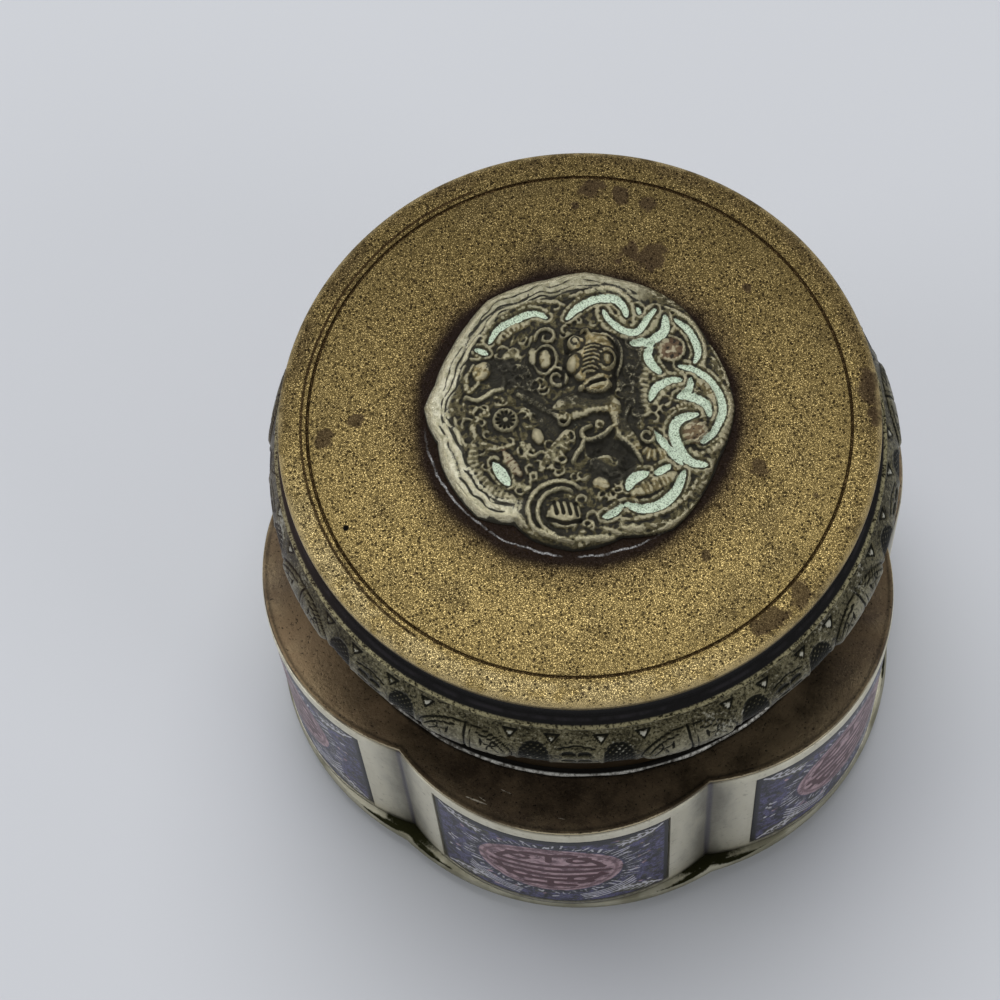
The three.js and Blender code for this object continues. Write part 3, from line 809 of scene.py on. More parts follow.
for side in (-1, 1):
    for end in (-1, 1):
        for cut, half in CARTOUCHE_CUTS:
            chase([(side * x, BAND_MIDDLE + end * y) for x, y in cut], half)
    chase(arc(side * 4.0, BAND_MIDDLE + 1.9, 0.34, 0, 330, 9), 0.07)
    middle = side * NET_PLACE
    patch = oval(middle, BAND_MIDDLE, 2.15, 3.6, 3.0)
    net = np.cos(2 * math.pi * (band.across - middle) / NET_PITCH)
    net *= np.cos(2 * math.pi * band.up / NET_PITCH)
    knots = np.clip(net * 3.4 - 1.7, 0, 1) * patch
    band.sunk[:] = np.maximum(band.sunk, patch * (1 - knots))
    band.rise += patch * (0.12 * knots - 0.1)
    band.shine[:] = np.maximum(band.shine, knots * 0.42)
    around = np.linspace(0, 2 * math.pi, 31)
    ring = [(middle + 2.35 * math.cos(t), BAND_MIDDLE + 3.75 * math.sin(t)) for t in around]
    where, far, _, _ = band.line(ring, 0.3)
    band.rise[where] += 0.12 * np.clip(1 - far / 0.3, 0, 1)
    band.shine[where] = np.maximum(band.shine[where], 0.34 * np.clip(1 - far / 0.25, 0, 1))
    for up in (BAND_MIDDLE - 1.65, BAND_MIDDLE, BAND_MIDDLE + 1.65):
        chase([(side * (TRIGRAM_PLACE - 0.55), up), (side * (TRIGRAM_PLACE + 0.55), up)], 0.2, 0.2)
        chase([(side * TRIGRAM_PLACE + x, up + y) for x, y in TRIGRAM_BOX], 0.04, 0.05)
    for outer, inner in ((8.5, 8.0), (2.4, 2.9)):
        chase([(side * REPEAT_WIDTH / 2, outer), (side * (REPEAT_WIDTH / 2 - 2.4), inner)], 0.09)
    for middle in TEETH_PLACES:
        for end in (-1, 1):
            x = abs(band.across - side * middle)
            y = (band.up - BAND_MIDDLE) * end
            notch = np.clip((0.85 * (y - 3.0) - x) / 0.2, 0, 1) * np.clip((4.7 - y) / 0.2, 0, 1)
            tooth = np.clip((0.78 * (y - 3.4) - x) / 0.15, 0, 1) * np.clip((4.3 - y) / 0.15, 0, 1)
            band.sunk[:] = np.maximum(band.sunk * (1 - tooth), notch - tooth)
            band.rise += 0.16 * tooth - 0.14 * (notch > 0.5)
            band.shine[:] = np.maximum(band.shine, tooth)


def blurred(grid, cells):
    """The grid averaged over a square of cells each way, three times."""
    for _ in range(3):
        for axis in (0, 1):
            size = 2 * cells + 1
            pad = [(cells + 1, cells) if a == axis else (0, 0) for a in (0, 1)]
            total = np.cumsum(np.pad(grid, pad, mode="edge"), axis=axis)
            ahead = np.take(total, range(size, total.shape[axis]), axis)
            behind = np.take(total, range(0, total.shape[axis] - size), axis)
            grid = (ahead - behind) / size
    return grid


band.rise[:] = blurred(band.rise, 1)
band.rise *= np.clip(np.minimum(band.up, BAND_HEIGHT - band.up) / 0.6, 0, 1)

# Outer profile of cove and bead, as radius and height over the band's lower edge.
cove = [(DRUM_RADIUS, -COVE_HEIGHT), (DRUM_RADIUS + 0.12, -1.25), (BAND_EDGE - 0.5, -0.75)]
bead = [(BAND_EDGE, -0.5), (BEAD_RADIUS + 0.05, -0.36), (BEAD_RADIUS + 0.05, -0.1), (BAND_EDGE + 0.1, 0)]
shell_rings = [circle(r, CAP_LOW, BAND_COUNT) for r in (DRUM_INNER, DRUM_RADIUS)]
shell_rings += [circle(r, BAND_LOW + up, BAND_COUNT) for r, up in cove + bead]
turns = np.array([math.atan2(y, x) for x, y, _ in circle(1, 0, BAND_COUNT)])
round_repeat = (turns - CARTOUCHE_TURN + REPEAT_TURN / 2) % REPEAT_TURN - REPEAT_TURN / 2
swell = BAND_SWELL - BAND_LESS + BAND_LEAN[0] * np.cos(turns) + BAND_LEAN[1] * np.sin(turns)
across = round_repeat * (BAND_EDGE + BAND_SWELL)
for step in range(1, BAND_STEPS):
    share = step / BAND_STEPS
    radius = BAND_EDGE + swell * math.sin(math.pi * share)
    up = share * BAND_HEIGHT
    radii = radius + band.at("rise", across, np.full_like(across, up))
    places = zip(radii * np.cos(turns), radii * np.sin(turns))
    shell_rings.append([(x, y, BAND_LOW + up) for x, y in places])
shell_rings += [circle(r, BAND_TOP - up, BAND_COUNT) for r, up in reversed(cove + bead)]
inside = [(DRUM_RADIUS, DRUM_TOP), (SEAT_INNER, DRUM_TOP), (SEAT_INNER, DRUM_TOP - 1)]
inside += [(DRUM_INNER, DRUM_TOP - 1), (DRUM_INNER, BAND_TOP + 0.9)]
inside += [(BAND_EDGE - 0.6, BAND_TOP - 2.7), (BAND_EDGE, BAND_TOP - 5.4)]
inside += [(BAND_EDGE - 0.6, BAND_LOW + 2.7), (DRUM_INNER, BAND_LOW - 0.9)]
shell_rings += [circle(r, z, BAND_COUNT) for r, z in inside]
shell = loft("lid_drum_and_band", shell_rings, True)

shell_places = places_of(shell)
vertex_turn = np.arctan2(shell_places[:, 1], shell_places[:, 0]) - CARTOUCHE_TURN + REPEAT_TURN / 2
across = (vertex_turn % REPEAT_TURN - REPEAT_TURN / 2) * (BAND_EDGE + BAND_SWELL)
up = shell_places[:, 2] - BAND_LOW
on_band = (up > 0) & (up < BAND_HEIGHT)
for layer in ("sunk", "shine", "smooth"):
    store(shell, layer, band.at(layer, across, up) * on_band)

band_metal = Finish("band_metal", Specular_IOR_Level=0.25)
place = band_metal.place
grime = place.noise(2200, 4, 0.75)
cloudy = place.noise(240, 4, 0.6)
broad = place.noise(150, 3, 0.6)
metal = cloudy.ramp(0.3, 0.7).mix(colour(66, 61, 42), colour(128, 121, 92))
lighter = cloudy.ramp(0.3, 0.7).mix(colour(108, 102, 78), colour(170, 164, 138))
metal = (band_metal.attribute("smooth") * 0.6).mix(metal, lighter)
specks = (1 - grime.ramp(0.4, 0.52)) * (1 - band_metal.attribute("smooth") * 0.35)
metal = (specks * 0.9).mix(metal, colour(30, 28, 19))
metal = (grime.ramp(0.56, 0.66) * 0.55).mix(metal, colour(184, 178, 152))
sunk = (band_metal.attribute("sunk") + (grime - 0.5) * 1.9 + (cloudy - 0.5) * 0.9).ramp(0.34, 0.78)
metal = (sunk * 0.95).mix(metal, colour(15, 16, 11))
shine = (band_metal.attribute("shine") + (grime - 0.5) * 1.6 + (broad - 0.5) * 2.6).ramp(0.42, 0.9)
metal = shine.mix(metal, colour(196, 193, 176))
height = place.part(2)
bead_line = height.ramp((BAND_TOP - 0.25) * MM, (BAND_TOP - 0.05) * MM)
metal = (bead_line * grime.ramp(0.4, 0.56) * 0.75).mix(metal, colour(168, 160, 124))
# Painted shade: the drum strip above the upper bead, under the disc's edge, is near black.
drum_shade = grime.mix(colour(9, 8, 8), colour(28, 26, 25))
above = height.ramp((BAND_TOP + 0.5) * MM, (BAND_TOP + 0.62) * MM)
metal = above.mix(metal, drum_shade)
# Painted highlight: a thin bluish line in the cove under the disc's edge.
cove_highlight = height.ramp((BAND_TOP + 0.75) * MM, (BAND_TOP + 0.95) * MM)
cove_highlight = cove_highlight * (1 - height.ramp((BAND_TOP + 1.0) * MM, (BAND_TOP + 1.25) * MM))
metal = (cove_highlight * cloudy.ramp(0.35, 0.6) * 0.6).mix(metal, colour(58, 54, 58))
# Painted shadow: everything under the band's lower edge is near black.
under_band_shade = 1 - height.ramp((BAND_LOW - 0.6) * MM, (BAND_LOW - 0.2) * MM)
metal = under_band_shade.mix(metal, colour(12, 11, 9))
leftward = 1 - place.part(0).ramp(-44 * MM, -20 * MM)
metal = (leftward * 0.3).mix(metal, colour(92, 72, 66))
band_metal.set(Base_Color=metal)
band_metal.set(Roughness=0.38 + 0.27 * sunk.top(above))
band_metal.set(Metallic=0.9 - 0.75 * above.top(under_band_shade))
band_metal.bump(grime, 0.00012)
fit(shell, band_metal, "band_metal", "lid_shell")


# Lid disc
# A brass disc finely pitted all over, with one engraved circle and a worn bright edge.
# It is stained brown in places, and dark round the medallion where flux and dirt have stayed.
# Painted light makes it brighter to the front, a painted highlight lies on its lower-left rim,
# and painted shade, partly brown dirt, darkens the rest of its rim and the side and underside of its edge.
LID_TOP = 76.0
LID_RADIUS = 40.0
LID_EDGE_HEIGHT = 1.9
ENGRAVED_RADIUS = 36.04
ENGRAVED_HALF = 0.22
ENGRAVED_DEPTH = 0.25
SECOND_LINE_RADIUS = 36.9
BEZEL_RADIUS = 20.4
DISC_COUNT = 384
DISC_PROFILE = [
    (33.9, -1.1), (34.1, -1.85), (39.3, -LID_EDGE_HEIGHT), (39.7, -1.84), (39.93, -1.6), (40.0, -1.3),
    (40.0, -0.65), (39.94, -0.36), (39.78, -0.16), (39.5, -0.05), (39.1, -0.01), (38.4, 0),
    (ENGRAVED_RADIUS + ENGRAVED_HALF + 0.1, 0), (ENGRAVED_RADIUS + ENGRAVED_HALF, -0.03),
    (ENGRAVED_RADIUS + 0.08, -ENGRAVED_DEPTH), (ENGRAVED_RADIUS - 0.08, -ENGRAVED_DEPTH),
    (ENGRAVED_RADIUS - ENGRAVED_HALF, -0.03), (ENGRAVED_RADIUS - ENGRAVED_HALF - 0.1, 0),
    (30, 0), (20, 0), (10, 0), (2, 0),
]
# Stains as places on the lid and sizes, in millimetres.
STAINS = [
    (37.3, 10.2, 1.4), (37.8, 8.5, 1.7), (38.3, 6.7, 1.7), (38.7, 5.0, 1.5), (39.0, 3.6, 1.1),
    (31.1, -21.7, 2.0), (28.4, -25.0, 2.0), (26.4, -26.8, 1.6),
    (7.0, 24.5, 2.3), (4.2, 25.2, 1.8), (-1.9, 34.0, 1.7), (2.4, 33.8, 1.5), (5.6, 32.8, 1.5),
    (24.7, -4.8, 1.5), (32.0, -7.7, 0.6), (-29.5, -3.1, 1.2), (-33.3, -6.4, 1.5), (18.5, -17.5, 0.8),
    (-28.6, -18.5, 0.45), (20.4, 21.5, 0.7), (-4.0, 31.5, 0.8),
]
HALO_RADIUS = 21.4

disc_rings = [circle(r, LID_TOP + z, DISC_COUNT) for r, z in DISC_PROFILE]
disc = loft("lid_disc", disc_rings, False)
lid_brass = Finish("lid_brass", Metallic=0.9)
place = lid_brass.place
x = place.part(0)
y = place.part(1)
from_axis = place.moved((0, 0, -LID_TOP * MM)).away((0, 0, 0))
radius = from_axis * (1 / MM)
grain = place.noise(5800, 3, 0.75)
mottle = place.noise(140, 5, 0.6)
wander = place.noise(330, 4, 0.6)
# Painted light: the disc is made brighter towards the front, and its bright and dark specks stronger there.
front = (y * -1 + 0.1 * x + (mottle - 0.5) * 0.03).ramp(-38 * MM, 34 * MM)
brass = front.mix(colour(122, 104, 62), colour(188, 163, 102))
brass = (mottle.ramp(0.48, 0.68) * 0.5).mix(brass, colour(108, 92, 58))
brass = (grain.ramp(0.52, 0.7) * (0.18 + 0.22 * front)).mix(brass, colour(238, 218, 162))
# Painted highlight along the lower-left rim, partly wear.
lightened = (radius - 36.4).ramp(0, 1) * (y * -1 + 0.3 * x * -1).ramp(16 * MM, 34 * MM)
brass = (lightened * wander.ramp(0.3, 0.55) * 0.55).mix(brass, colour(214, 194, 142))
# Painted shade on the rim's rounded edge away from the front left, partly brown dirt.
rim_shade_and_dirt = (1 - (y * -1 + 0.3 * x * -1).ramp(10 * MM, 26 * MM)) * (radius - 37).ramp(0, 1.6)
brass = (rim_shade_and_dirt * mottle.ramp(0.3, 0.6) * 0.65).mix(brass, colour(96, 80, 52))
stain = None
for stain_x, stain_y, size in STAINS:
    far = place.away((stain_x * MM, stain_y * MM, LID_TOP * MM)) * (1 / MM)
    one = 1 - (far + (wander - 0.5) * size * 3.0 + (grain - 0.5) * 0.7).ramp(size * 0.6, size * 1.05)
    stain = one if stain is None else stain.top(one)
brass = (stain * 0.75).mix(brass, colour(78, 62, 48))
ragged = (place.noise(160, 3) - 0.5) * 3.6 + (grain - 0.5) * 3
lopsided = radius + ragged * 0.6 + x * 12 + y * -10
halo = 1 - lopsided.ramp(HALO_RADIUS - 0.6, HALO_RADIUS + 1.6)
faint = 1 - (radius + ragged).ramp(HALO_RADIUS + 0.5, HALO_RADIUS + 5.4)
brass = (faint * 0.45).mix(brass, colour(70, 54, 44))
brass = (halo * 0.96).mix(brass, colour(38, 28, 28))
bezel_far = place.away((-0.2 * MM, 0.9 * MM, LID_TOP * MM)) * (1 / MM)
bezel = 1 - (bezel_far + (wander - 0.5) * 1.2 - BEZEL_RADIUS).size().ramp(0.05, 0.2)
bezel = bezel * (1 - (y + 0.3 * x).ramp(-15 * MM, -9 * MM)) * place.noise(420, 4).ramp(0.34, 0.56)
brass = (bezel * 0.8).mix(brass, colour(196, 196, 196))
smear = place.moved((2.5 * MM, -23.4 * MM, -LID_TOP * MM), (0.45, 1, 1)).away((0, 0, 0))
smear = 1 - smear.ramp(0.8 * MM, 4.2 * MM)
brass = (smear * 0.6 * wander.ramp(0.3, 0.6)).mix(brass, colour(62, 52, 40))
pit = place.cells(1750).ramp(0.17, 0.34)
speckle = grain.ramp(0.4, 0.5)
brass = ((1 - speckle) * (0.32 + 0.2 * front)).mix(brass, colour(62, 46, 22))
pitted = (1 - pit) * wander.ramp(0.25, 0.5)
brass = (pitted * 0.85).mix(brass, colour(40, 28, 16))
dots = place.cells(420)
dots = (1 - dots.ramp(0.06, 0.15)) * wander.ramp(0.47, 0.56)
brass = (dots * 0.75).mix(brass, colour(66, 48, 34))
groove = 1 - (radius - ENGRAVED_RADIUS).size().ramp(0.14, 0.3)
second = 1 - (radius - SECOND_LINE_RADIUS).size().ramp(0.12, 0.28)
left_only = 1 - (x * (1 / MM)).ramp(-18.6, -16.6)
groove_tone = place.noise(500, 3).mix(colour(40, 28, 14), colour(74, 54, 28))
brass = (groove.top(second * left_only) * 0.9).mix(brass, groove_tone)
black_pit = 1 - (place.away((-28.6 * MM, -18.5 * MM, LID_TOP * MM)) * (1 / MM)).ramp(0.3, 0.55)
brass = black_pit.mix(brass, colour(16, 12, 10))
edge = radius.ramp(39.0, 39.75) * wander.ramp(0.35, 0.6)
brass = (edge * 0.5).mix(brass, colour(214, 192, 140))
# Painted shade on the side and underside of the disc's edge, partly brown dirt.
under_edge = 1 - place.part(2).ramp((LID_TOP - 1.0) * MM, (LID_TOP - 0.5) * MM)
brass = (under_edge * 0.75).mix(brass, colour(70, 58, 38))
lid_brass.set(Base_Color=brass)
lid_brass.set(Roughness=0.44 + 0.2 * stain.top(halo))
lid_brass.bump(grain.ramp(0.3, 0.6) + pit * 1.5, 0.00007)
fit(disc, lid_brass, "lid_brass", "lid_top")


# Medallion
# A cast plaque soldered to the lid: a beast's head among scrolls and leaves, with a broad pale
# rim on the left. Cells between the scrolls are filled with mint enamel, and dirt fills the rest.
# The hollows also get painted shade, the ridges painted highlights, and the pale rim a painted highlight to
# the lower left.
MEDALLION_BASE = LID_TOP + 0.02
CAST_GRID = 290
DOME_EDGE = 1.0
DOME_RISE = 1.15
FLANGE_RISE = 1.25
FLANGE_WIDTH = 3.4
# The rim's reach from the axis, in millimetres, against its angle in degrees.
RIM = [
    (-178, 20.6), (-171, 20.0), (-163, 19.0), (-153, 19.3), (-141, 19.3), (-127, 19.3), (-119, 18.2),
    (-113, 17.3), (-103, 18.3), (-86, 18.8), (-76, 18.5), (-65, 17.9), (-46, 20.1), (-29, 19.6),
    (-12, 19.4), (10, 20.7), (19, 20.6), (38, 20.4), (54, 21.2), (67, 21.3), (81, 21.0), (94, 21.4),
    (108, 20.8), (123, 21.0), (132, 21.2), (143, 20.4), (155, 19.9), (172, 19.8),
]
rim_angles = [angle for angle, _ in RIM]
rim_reach = [reach for _, reach in RIM]


def rim_at(angle):
    return np.interp(np.degrees(angle), rim_angles, rim_reach, period=360)


CAST_LAYERS = ("mint", "pale", "gilt", "soot", "russet", "crest", "flange")

cast = Relief(-22, -22, 22, 22, 0.07, ("rise", "cut") + CAST_LAYERS)
middle = np.hypot(cast.across, cast.up)
inset = rim_at(np.arctan2(cast.up, cast.across)) - middle
angle = np.degrees(np.arctan2(cast.up, cast.across)) % 360
left_rim = np.clip((angle - 66) / 10, 0, 1) * np.clip((252 - angle) / 10, 0, 1)
dome = DOME_EDGE + DOME_RISE * (1 - (middle / 21) ** 2)
shelf = FLANGE_RISE + 0.2 * np.clip(inset / 3.2, 0, 1)
flange = left_rim * np.clip((FLANGE_WIDTH - inset) / 0.35, 0, 1)
cast.rise[:] = dome * (1 - flange) + shelf * flange
cast.rise[:] *= np.sqrt(np.clip(inset / 0.9, 0, 1))
for layer in (cast.pale, cast.flange):
    layer[:] = flange
base = cast.rise.copy()


def rib(points, half, rise, layer=None, level=1.0, wave=0.25, pitch=0.55):
    """A rounded rib standing on the dome, thinner to its ends, hatched across by wave."""
    where, far, share, length = cast.line(points, half)
    taper = half * (0.45 + 0.55 * np.sqrt(np.sin(np.pi * share)))
    bump = np.sqrt(np.clip(1 - (far / taper) ** 2, 0, 1))
    beads = 1 - wave * (0.5 - 0.5 * np.cos(2 * np.pi * share * length / pitch))
    cast.rise[where] = np.maximum(cast.rise[where], base[where] + rise * bump * beads)
    if layer:
        cast.paint(layer, points, half * 0.8, level)


def scored(points, half, depth):
    where, far, _, _ = cast.line(points, half)
    cut = depth * np.clip(1 - far / half, 0, 1)
    cast.cut[where] = np.maximum(cast.cut[where], cut)


def cell(points, half, level=1.0):
    """A strip of enamel between two thin walls of metal, pointed at its ends, with dirt along it."""
    half = half + 0.16
    where, far, share, length = cast.line(points, half + 0.75)
    taper = half * (0.4 + 0.6 * np.sqrt(np.sin(np.pi * share)))
    hatch = 0.75 + 0.25 * np.cos(2 * np.pi * share * length / 0.6)
    wall = np.clip(1 - abs(far - taper - 0.5) / 0.3, 0, 1) * hatch
    cast.rise[where] = np.maximum(cast.rise[where], base[where] + 0.5 * wall)
    cast.cut[where] = np.maximum(cast.cut[where], 0.25 * np.clip((taper - far) / 0.15, 0, 1))
    rut = np.clip(1 - abs(far - taper - 0.12) / 0.17, 0, 1)
    cast.soot[where] = np.maximum(cast.soot[where], rut)
    cast.mint[where] = np.maximum(cast.mint[where], level * np.clip((taper - far) / 0.1, 0, 1))


def inked(points, half=0.1, depth=0.35):
    """A fine cut filled with dirt."""
    scored(points, half + 0.12, depth)
    cast.paint("soot", points, half, 1.0, 0.12)


def knob(x, y, wide, tall, rise, turn=0.0, layer=None, level=1.0):
    where = cast.window([(x, y), (x, y)], max(wide, tall))
    c = math.cos(math.radians(turn))
    s = math.sin(math.radians(turn))
    u = ((cast.across[where] - x) * c + (cast.up[where] - y) * s) / wide
    v = ((cast.up[where] - y) * c - (cast.across[where] - x) * s) / tall
    bump = np.sqrt(np.clip(1 - u**2 - v**2, 0, 1))
    cast.rise[where] = np.maximum(cast.rise[where], base[where] + rise * bump)
    if layer:
        sheet = getattr(cast, layer)
        sheet[where] = np.maximum(sheet[where], level * np.clip((1 - u**2 - v**2) * 3, 0, 1))


def coil(x, y, outer, inner, start, sweep, half, rise, **more):
    count = 12
    points = []
    for step in range(count):
        turn = math.radians(start + sweep * step / (count - 1))
        reach = outer + (inner - outer) * step / (count - 1)
        points.append((x + reach * math.cos(turn), y + reach * math.sin(turn)))
    rib(points, half, rise, **more)


# Inner edge of the pale rim, and the ribs beside it.
rib([(-17.4, -1.6), (-16.8, -4.7), (-14.9, -7.5), (-13.0, -11.2), (-8.8, -14.4)], 0.5, 0.35, "pale", 0.6)
rib([(-16.2, 4.2), (-15.4, 8.2), (-13.6, 11.9), (-10.4, 14.6), (-6.4, 15.8), (-3.6, 15.6)],
    0.55, 0.45, wave=0.3)
rib([(-15.2, 8.0), (-14.0, 11.3), (-11.6, 13.7)], 0.3, 0.55, "pale", 0.9)
rib([(-13.1, -6.2), (-12.9, -8.8), (-11.4, -11.0), (-9.6, -12.2), (-7.0, -13.1)],
    1.0, 0.6, "pale", 0.45, 0.4, 0.7)
rib([(-11.9, -1.0), (-13.6, -3.0), (-12.6, -5.4), (-9.8, -6.2), (-7.9, -5.4)], 0.6, 0.45)
rib([(-16.2, -2.2), (-14.8, -5.6), (-12.0, -6.4)], 0.4, 0.35)

# Enamel cells with half their widths: upper left, then from the top round the right to the bottom.
CELLS = [
    ([(-12.9, 9.1), (-12.3, 10.7), (-11.5, 11.7), (-10.0, 12.7),
      (-8.5, 13.7), (-7.1, 14.0), (-5.8, 13.5)], 0.42),
    ([(-14.7, 8.0), (-13.0, 7.4)], 0.3),
    ([(-3.0, 13.6), (-2.0, 15.1), (-0.8, 16.2), (0.6, 17.0), (2.5, 17.3),
      (3.6, 16.9), (4.4, 15.9), (4.8, 14.8)], 0.5),
    ([(1.7, 15.3), (2.4, 14.2), (3.7, 13.1), (5.0, 12.5), (6.2, 12.5),
      (6.9, 13.2), (7.6, 14.7), (8.5, 16.3)], 0.4),
    ([(6.1, 16.3), (6.6, 15.3)], 0.2),
    ([(5.9, 10.8), (7.8, 11.1), (9.2, 12.1), (10.1, 13.4), (9.9, 15.4)], 0.55),
    ([(8.6, 10.6), (8.2, 9.4), (8.9, 8.0), (10.1, 6.9)], 0.5),
    ([(11.3, 15.0), (13.0, 13.9), (14.2, 12.2), (14.8, 10.5), (14.5, 8.9)], 0.38),
    ([(12.5, 8.2), (14.2, 8.0), (16.0, 7.2), (17.6, 5.6), (18.5, 3.9),
      (18.8, 2.3), (18.4, 0.6), (17.7, -1.1), (16.5, -2.5)], 0.42),
    ([(14.2, 6.6), (14.1, 4.9), (12.9, 3.8)], 0.35),
    ([(12.8, 3.7), (14.6, 3.9), (16.5, 3.1), (17.2, 1.6)], 0.5),
    ([(9.2, 2.9), (9.8, 4.6), (11.2, 5.7), (12.9, 6.2)], 0.5),
    ([(10.4, -1.8), (12.0, -3.6), (14.2, -5.8)], 0.42),
    ([(15.5, 1.5), (13.4, 0.6), (12.7, -1.2), (13.6, -3.5), (15.2, -5.2), (17.4, -5.4)], 0.58),
    ([(7.6, -10.0), (8.1, -8.6), (9.9, -7.5)], 0.6),
    ([(10.9, -7.5), (12.7, -6.2)], 0.4),
    ([(7.6, -12.2), (9.5, -12.5), (11.8, -11.8), (13.7, -9.7), (14.6, -6.8)], 0.58),
    ([(4.8, -14.2), (6.2, -13.4), (7.2, -12.3)], 0.35, 0.8),
    ([(-10.2, -8.2), (-9.2, -9.4), (-8.0, -10.9)], 0.62),
]
for points, *size in CELLS:
    cell(points, *size)
rib([(-15.3, 6.5), (-13.9, 6.3)], 0.22, 0.5, "pale")
rib([(-7.1, -10.9), (-5.2, -11.4)], 0.5, 0.4, "pale")
rib([(7.2, -15.0), (9.9, -15.4)], 0.6, 0.3, "pale", 0.9)

# Beaded strands that bound the cells.
rib([(-14.1, 8.6), (-13.8, 10.4), (-13.3, 12.0), (-12.4, 13.2)], 0.35, 0.5, wave=0.5, pitch=0.6)
rib([(-3.0, 16.9), (0.5, 18.4), (2.6, 18.6), (4.2, 17.8), (5.4, 16.5), (5.8, 15.0), (5.8, 13.6)],
    0.45, 0.6, wave=0.4)
rib([(0.6, 15.6), (1.4, 13.4), (3.2, 12.0), (5.2, 11.4),
     (6.6, 11.4), (7.9, 12.6), (8.8, 14.2), (9.4, 16.0)], 0.42, 0.6, wave=0.4)
rib([(9.8, 16.7), (13.1, 15.3), (14.9, 13.1), (15.7, 10.6), (15.7, 8.7)], 0.42, 0.55, "pale", 0.6, 0.3)
rib([(10.0, 2.3), (10.9, 4.1), (12.0, 5.2), (13.5, 5.6)], 0.5, 0.6, "pale", 0.5, 0.6, 0.9)
rib([(12.0, 1.6), (13.7, 2.6), (15.4, 2.6), (16.4, 1.4), (16.8, -0.6)], 0.42, 0.6, wave=0.5)
rib([(19.6, 5.2), (20.0, 2.7), (19.5, -0.9), (18.5, -2.8), (16.9, -3.8), (15.2, -3.9)],
    0.5, 0.5, "pale", 0.4, 0.6, 0.8)
rib([(16.4, 12.2), (18.2, 9.4), (19.3, 6.4)], 0.4, 0.35, wave=0.4)
rib([(18.6, -6.1), (19.4, -4.4), (20.0, -2.9)], 0.2, 0.3, "pale")
rib([(6.4, -14.4), (9.6, -13.9), (13.0, -12.4), (15.6, -9.6), (16.4, -7.4)],
    0.45, 0.45, wave=0.5, pitch=0.9)
rib([(4.6, -15.6), (8.4, -16.2), (12.2, -15.2), (15.3, -12.6), (17.4, -9.4)], 0.4, 0.35, "pale", 0.5)
rib([(0.9, -17.4), (3.7, -17.2), (6.6, -16.7)], 0.45, 0.35, "pale", 0.9)

# Leaves and shells, hatched across.
rib([(-11.7, 9.1), (-10.3, 11.0), (-8.1, 12.3)], 0.75, 0.7, "gilt", 0.25, 0.35, 0.7)
rib([(15.3, 6.3), (16.9, 5.0), (17.6, 3.2)], 0.85, 0.75, "gilt", 0.5, 0.3, 0.55)
rib([(8.4, -10.8), (11.0, -9.2), (13.6, -7.4)], 0.95, 0.8, "gilt", 0.5, 0.3, 0.6)
rib([(-9.0, -6.8), (-7.9, -8.2), (-6.6, -9.6)], 0.75, 0.8, "russet", 0.8, 0.35, 0.6)
rib([(8.2, 7.1), (8.2, 4.6), (8.5, 1.8)], 0.8, 0.6, "pale", 0.4, 0.55, 0.8)
rib([(-10.7, 6.9), (-9.6, 7.5), (-8.6, 7.1)], 0.7, 0.5, "pale", 0.3, 0.4, 0.6)
rib([(8.6, -4.4), (10.2, -5.0), (12.0, -4.4)], 1.0, 0.7, "gilt", 0.6, 0.5, 0.7)

# Two balls caught in scrolls on the right, and the large scroll at the bottom.
knob(11.1, 10.3, 1.9, 1.9, 1.0, layer="russet", level=0.9)
coil(11.1, 10.3, 2.1, 0.6, 100, -560, 0.36, 0.95, wave=0.3)
knob(15.6, -1.2, 1.9, 1.8, 1.0, 30, "russet", 0.7)
for side in (-1, 0, 1):
    rib([(14.2, -1.9 + side), (15.6, -1.5 + side), (16.8, -0.7 + side)], 0.32, 1.15, "gilt", 0.4)
coil(-0.7, -14.1, 4.5, 4.0, 190, -130, 0.4, 0.7, layer="pale", level=0.8)
coil(-0.7, -14.2, 3.0, 3.2, 260, -190, 0.36, 0.85, layer="pale", level=0.95)
rib([(-5.0, -13.9), (-4.4, -16.0), (-2.6, -17.2), (1.2, -18.0)], 0.42, 0.6, "pale", 0.8)
knob(-0.3, -14.5, 2.3, 1.9, 1.1, 0, "gilt", 0.5)
for step in range(4):
    scored([(-1.8 + step * 0.9, -12.9), (-1.2 + step * 0.9, -14.6)], 0.28, 0.7)
scored([(-2.2, -15.3), (0.0, -15.8), (2.0, -15.0)], 0.3, 0.8)

# Comma-shaped curl on the left over a dark hollow.
knob(-13.4, 4.6, 1.25, 1.6, 0.9, -25, "gilt", 0.9)
rib([(-14.6, 5.6), (-15.3, 3.6), (-14.9, 1.6), (-14.0, 2.4), (-13.4, 3.4)], 0.4, 0.55)
rib([(-15.1, 0.8), (-13.7, 0.4), (-12.7, 0.9), (-11.5, 1.9), (-10.3, 2.5), (-10.4, 4.2)],
    0.4, 0.7, "pale", 0.85)

# Small coils and ovals behind the head.
coil(-5.4, 10.4, 1.5, 0.4, 200, -420, 0.3, 0.8)
knob(-5.2, 7.0, 0.95, 1.5, 1.0, 10, "gilt", 0.5)
rib(arc(-5.2, 7.0, 1.5, 150, -150, 10, 1.4), 0.26, 0.8)
knob(-6.9, 7.4, 0.7, 1.4, 0.7, 10)
coil(-3.3, 4.5, 1.6, 0.5, 160, -480, 0.3, 0.8)
coil(-8.4, 3.8, 0.7, 0.5, 0, 330, 0.22, 0.5)
rib([(-7.6, 8.9), (-7.4, 10.4)], 0.2, 0.7, "pale")
rib([(-12.0, 4.8), (-10.6, 5.6), (-9.2, 5.0)], 0.35, 0.3)

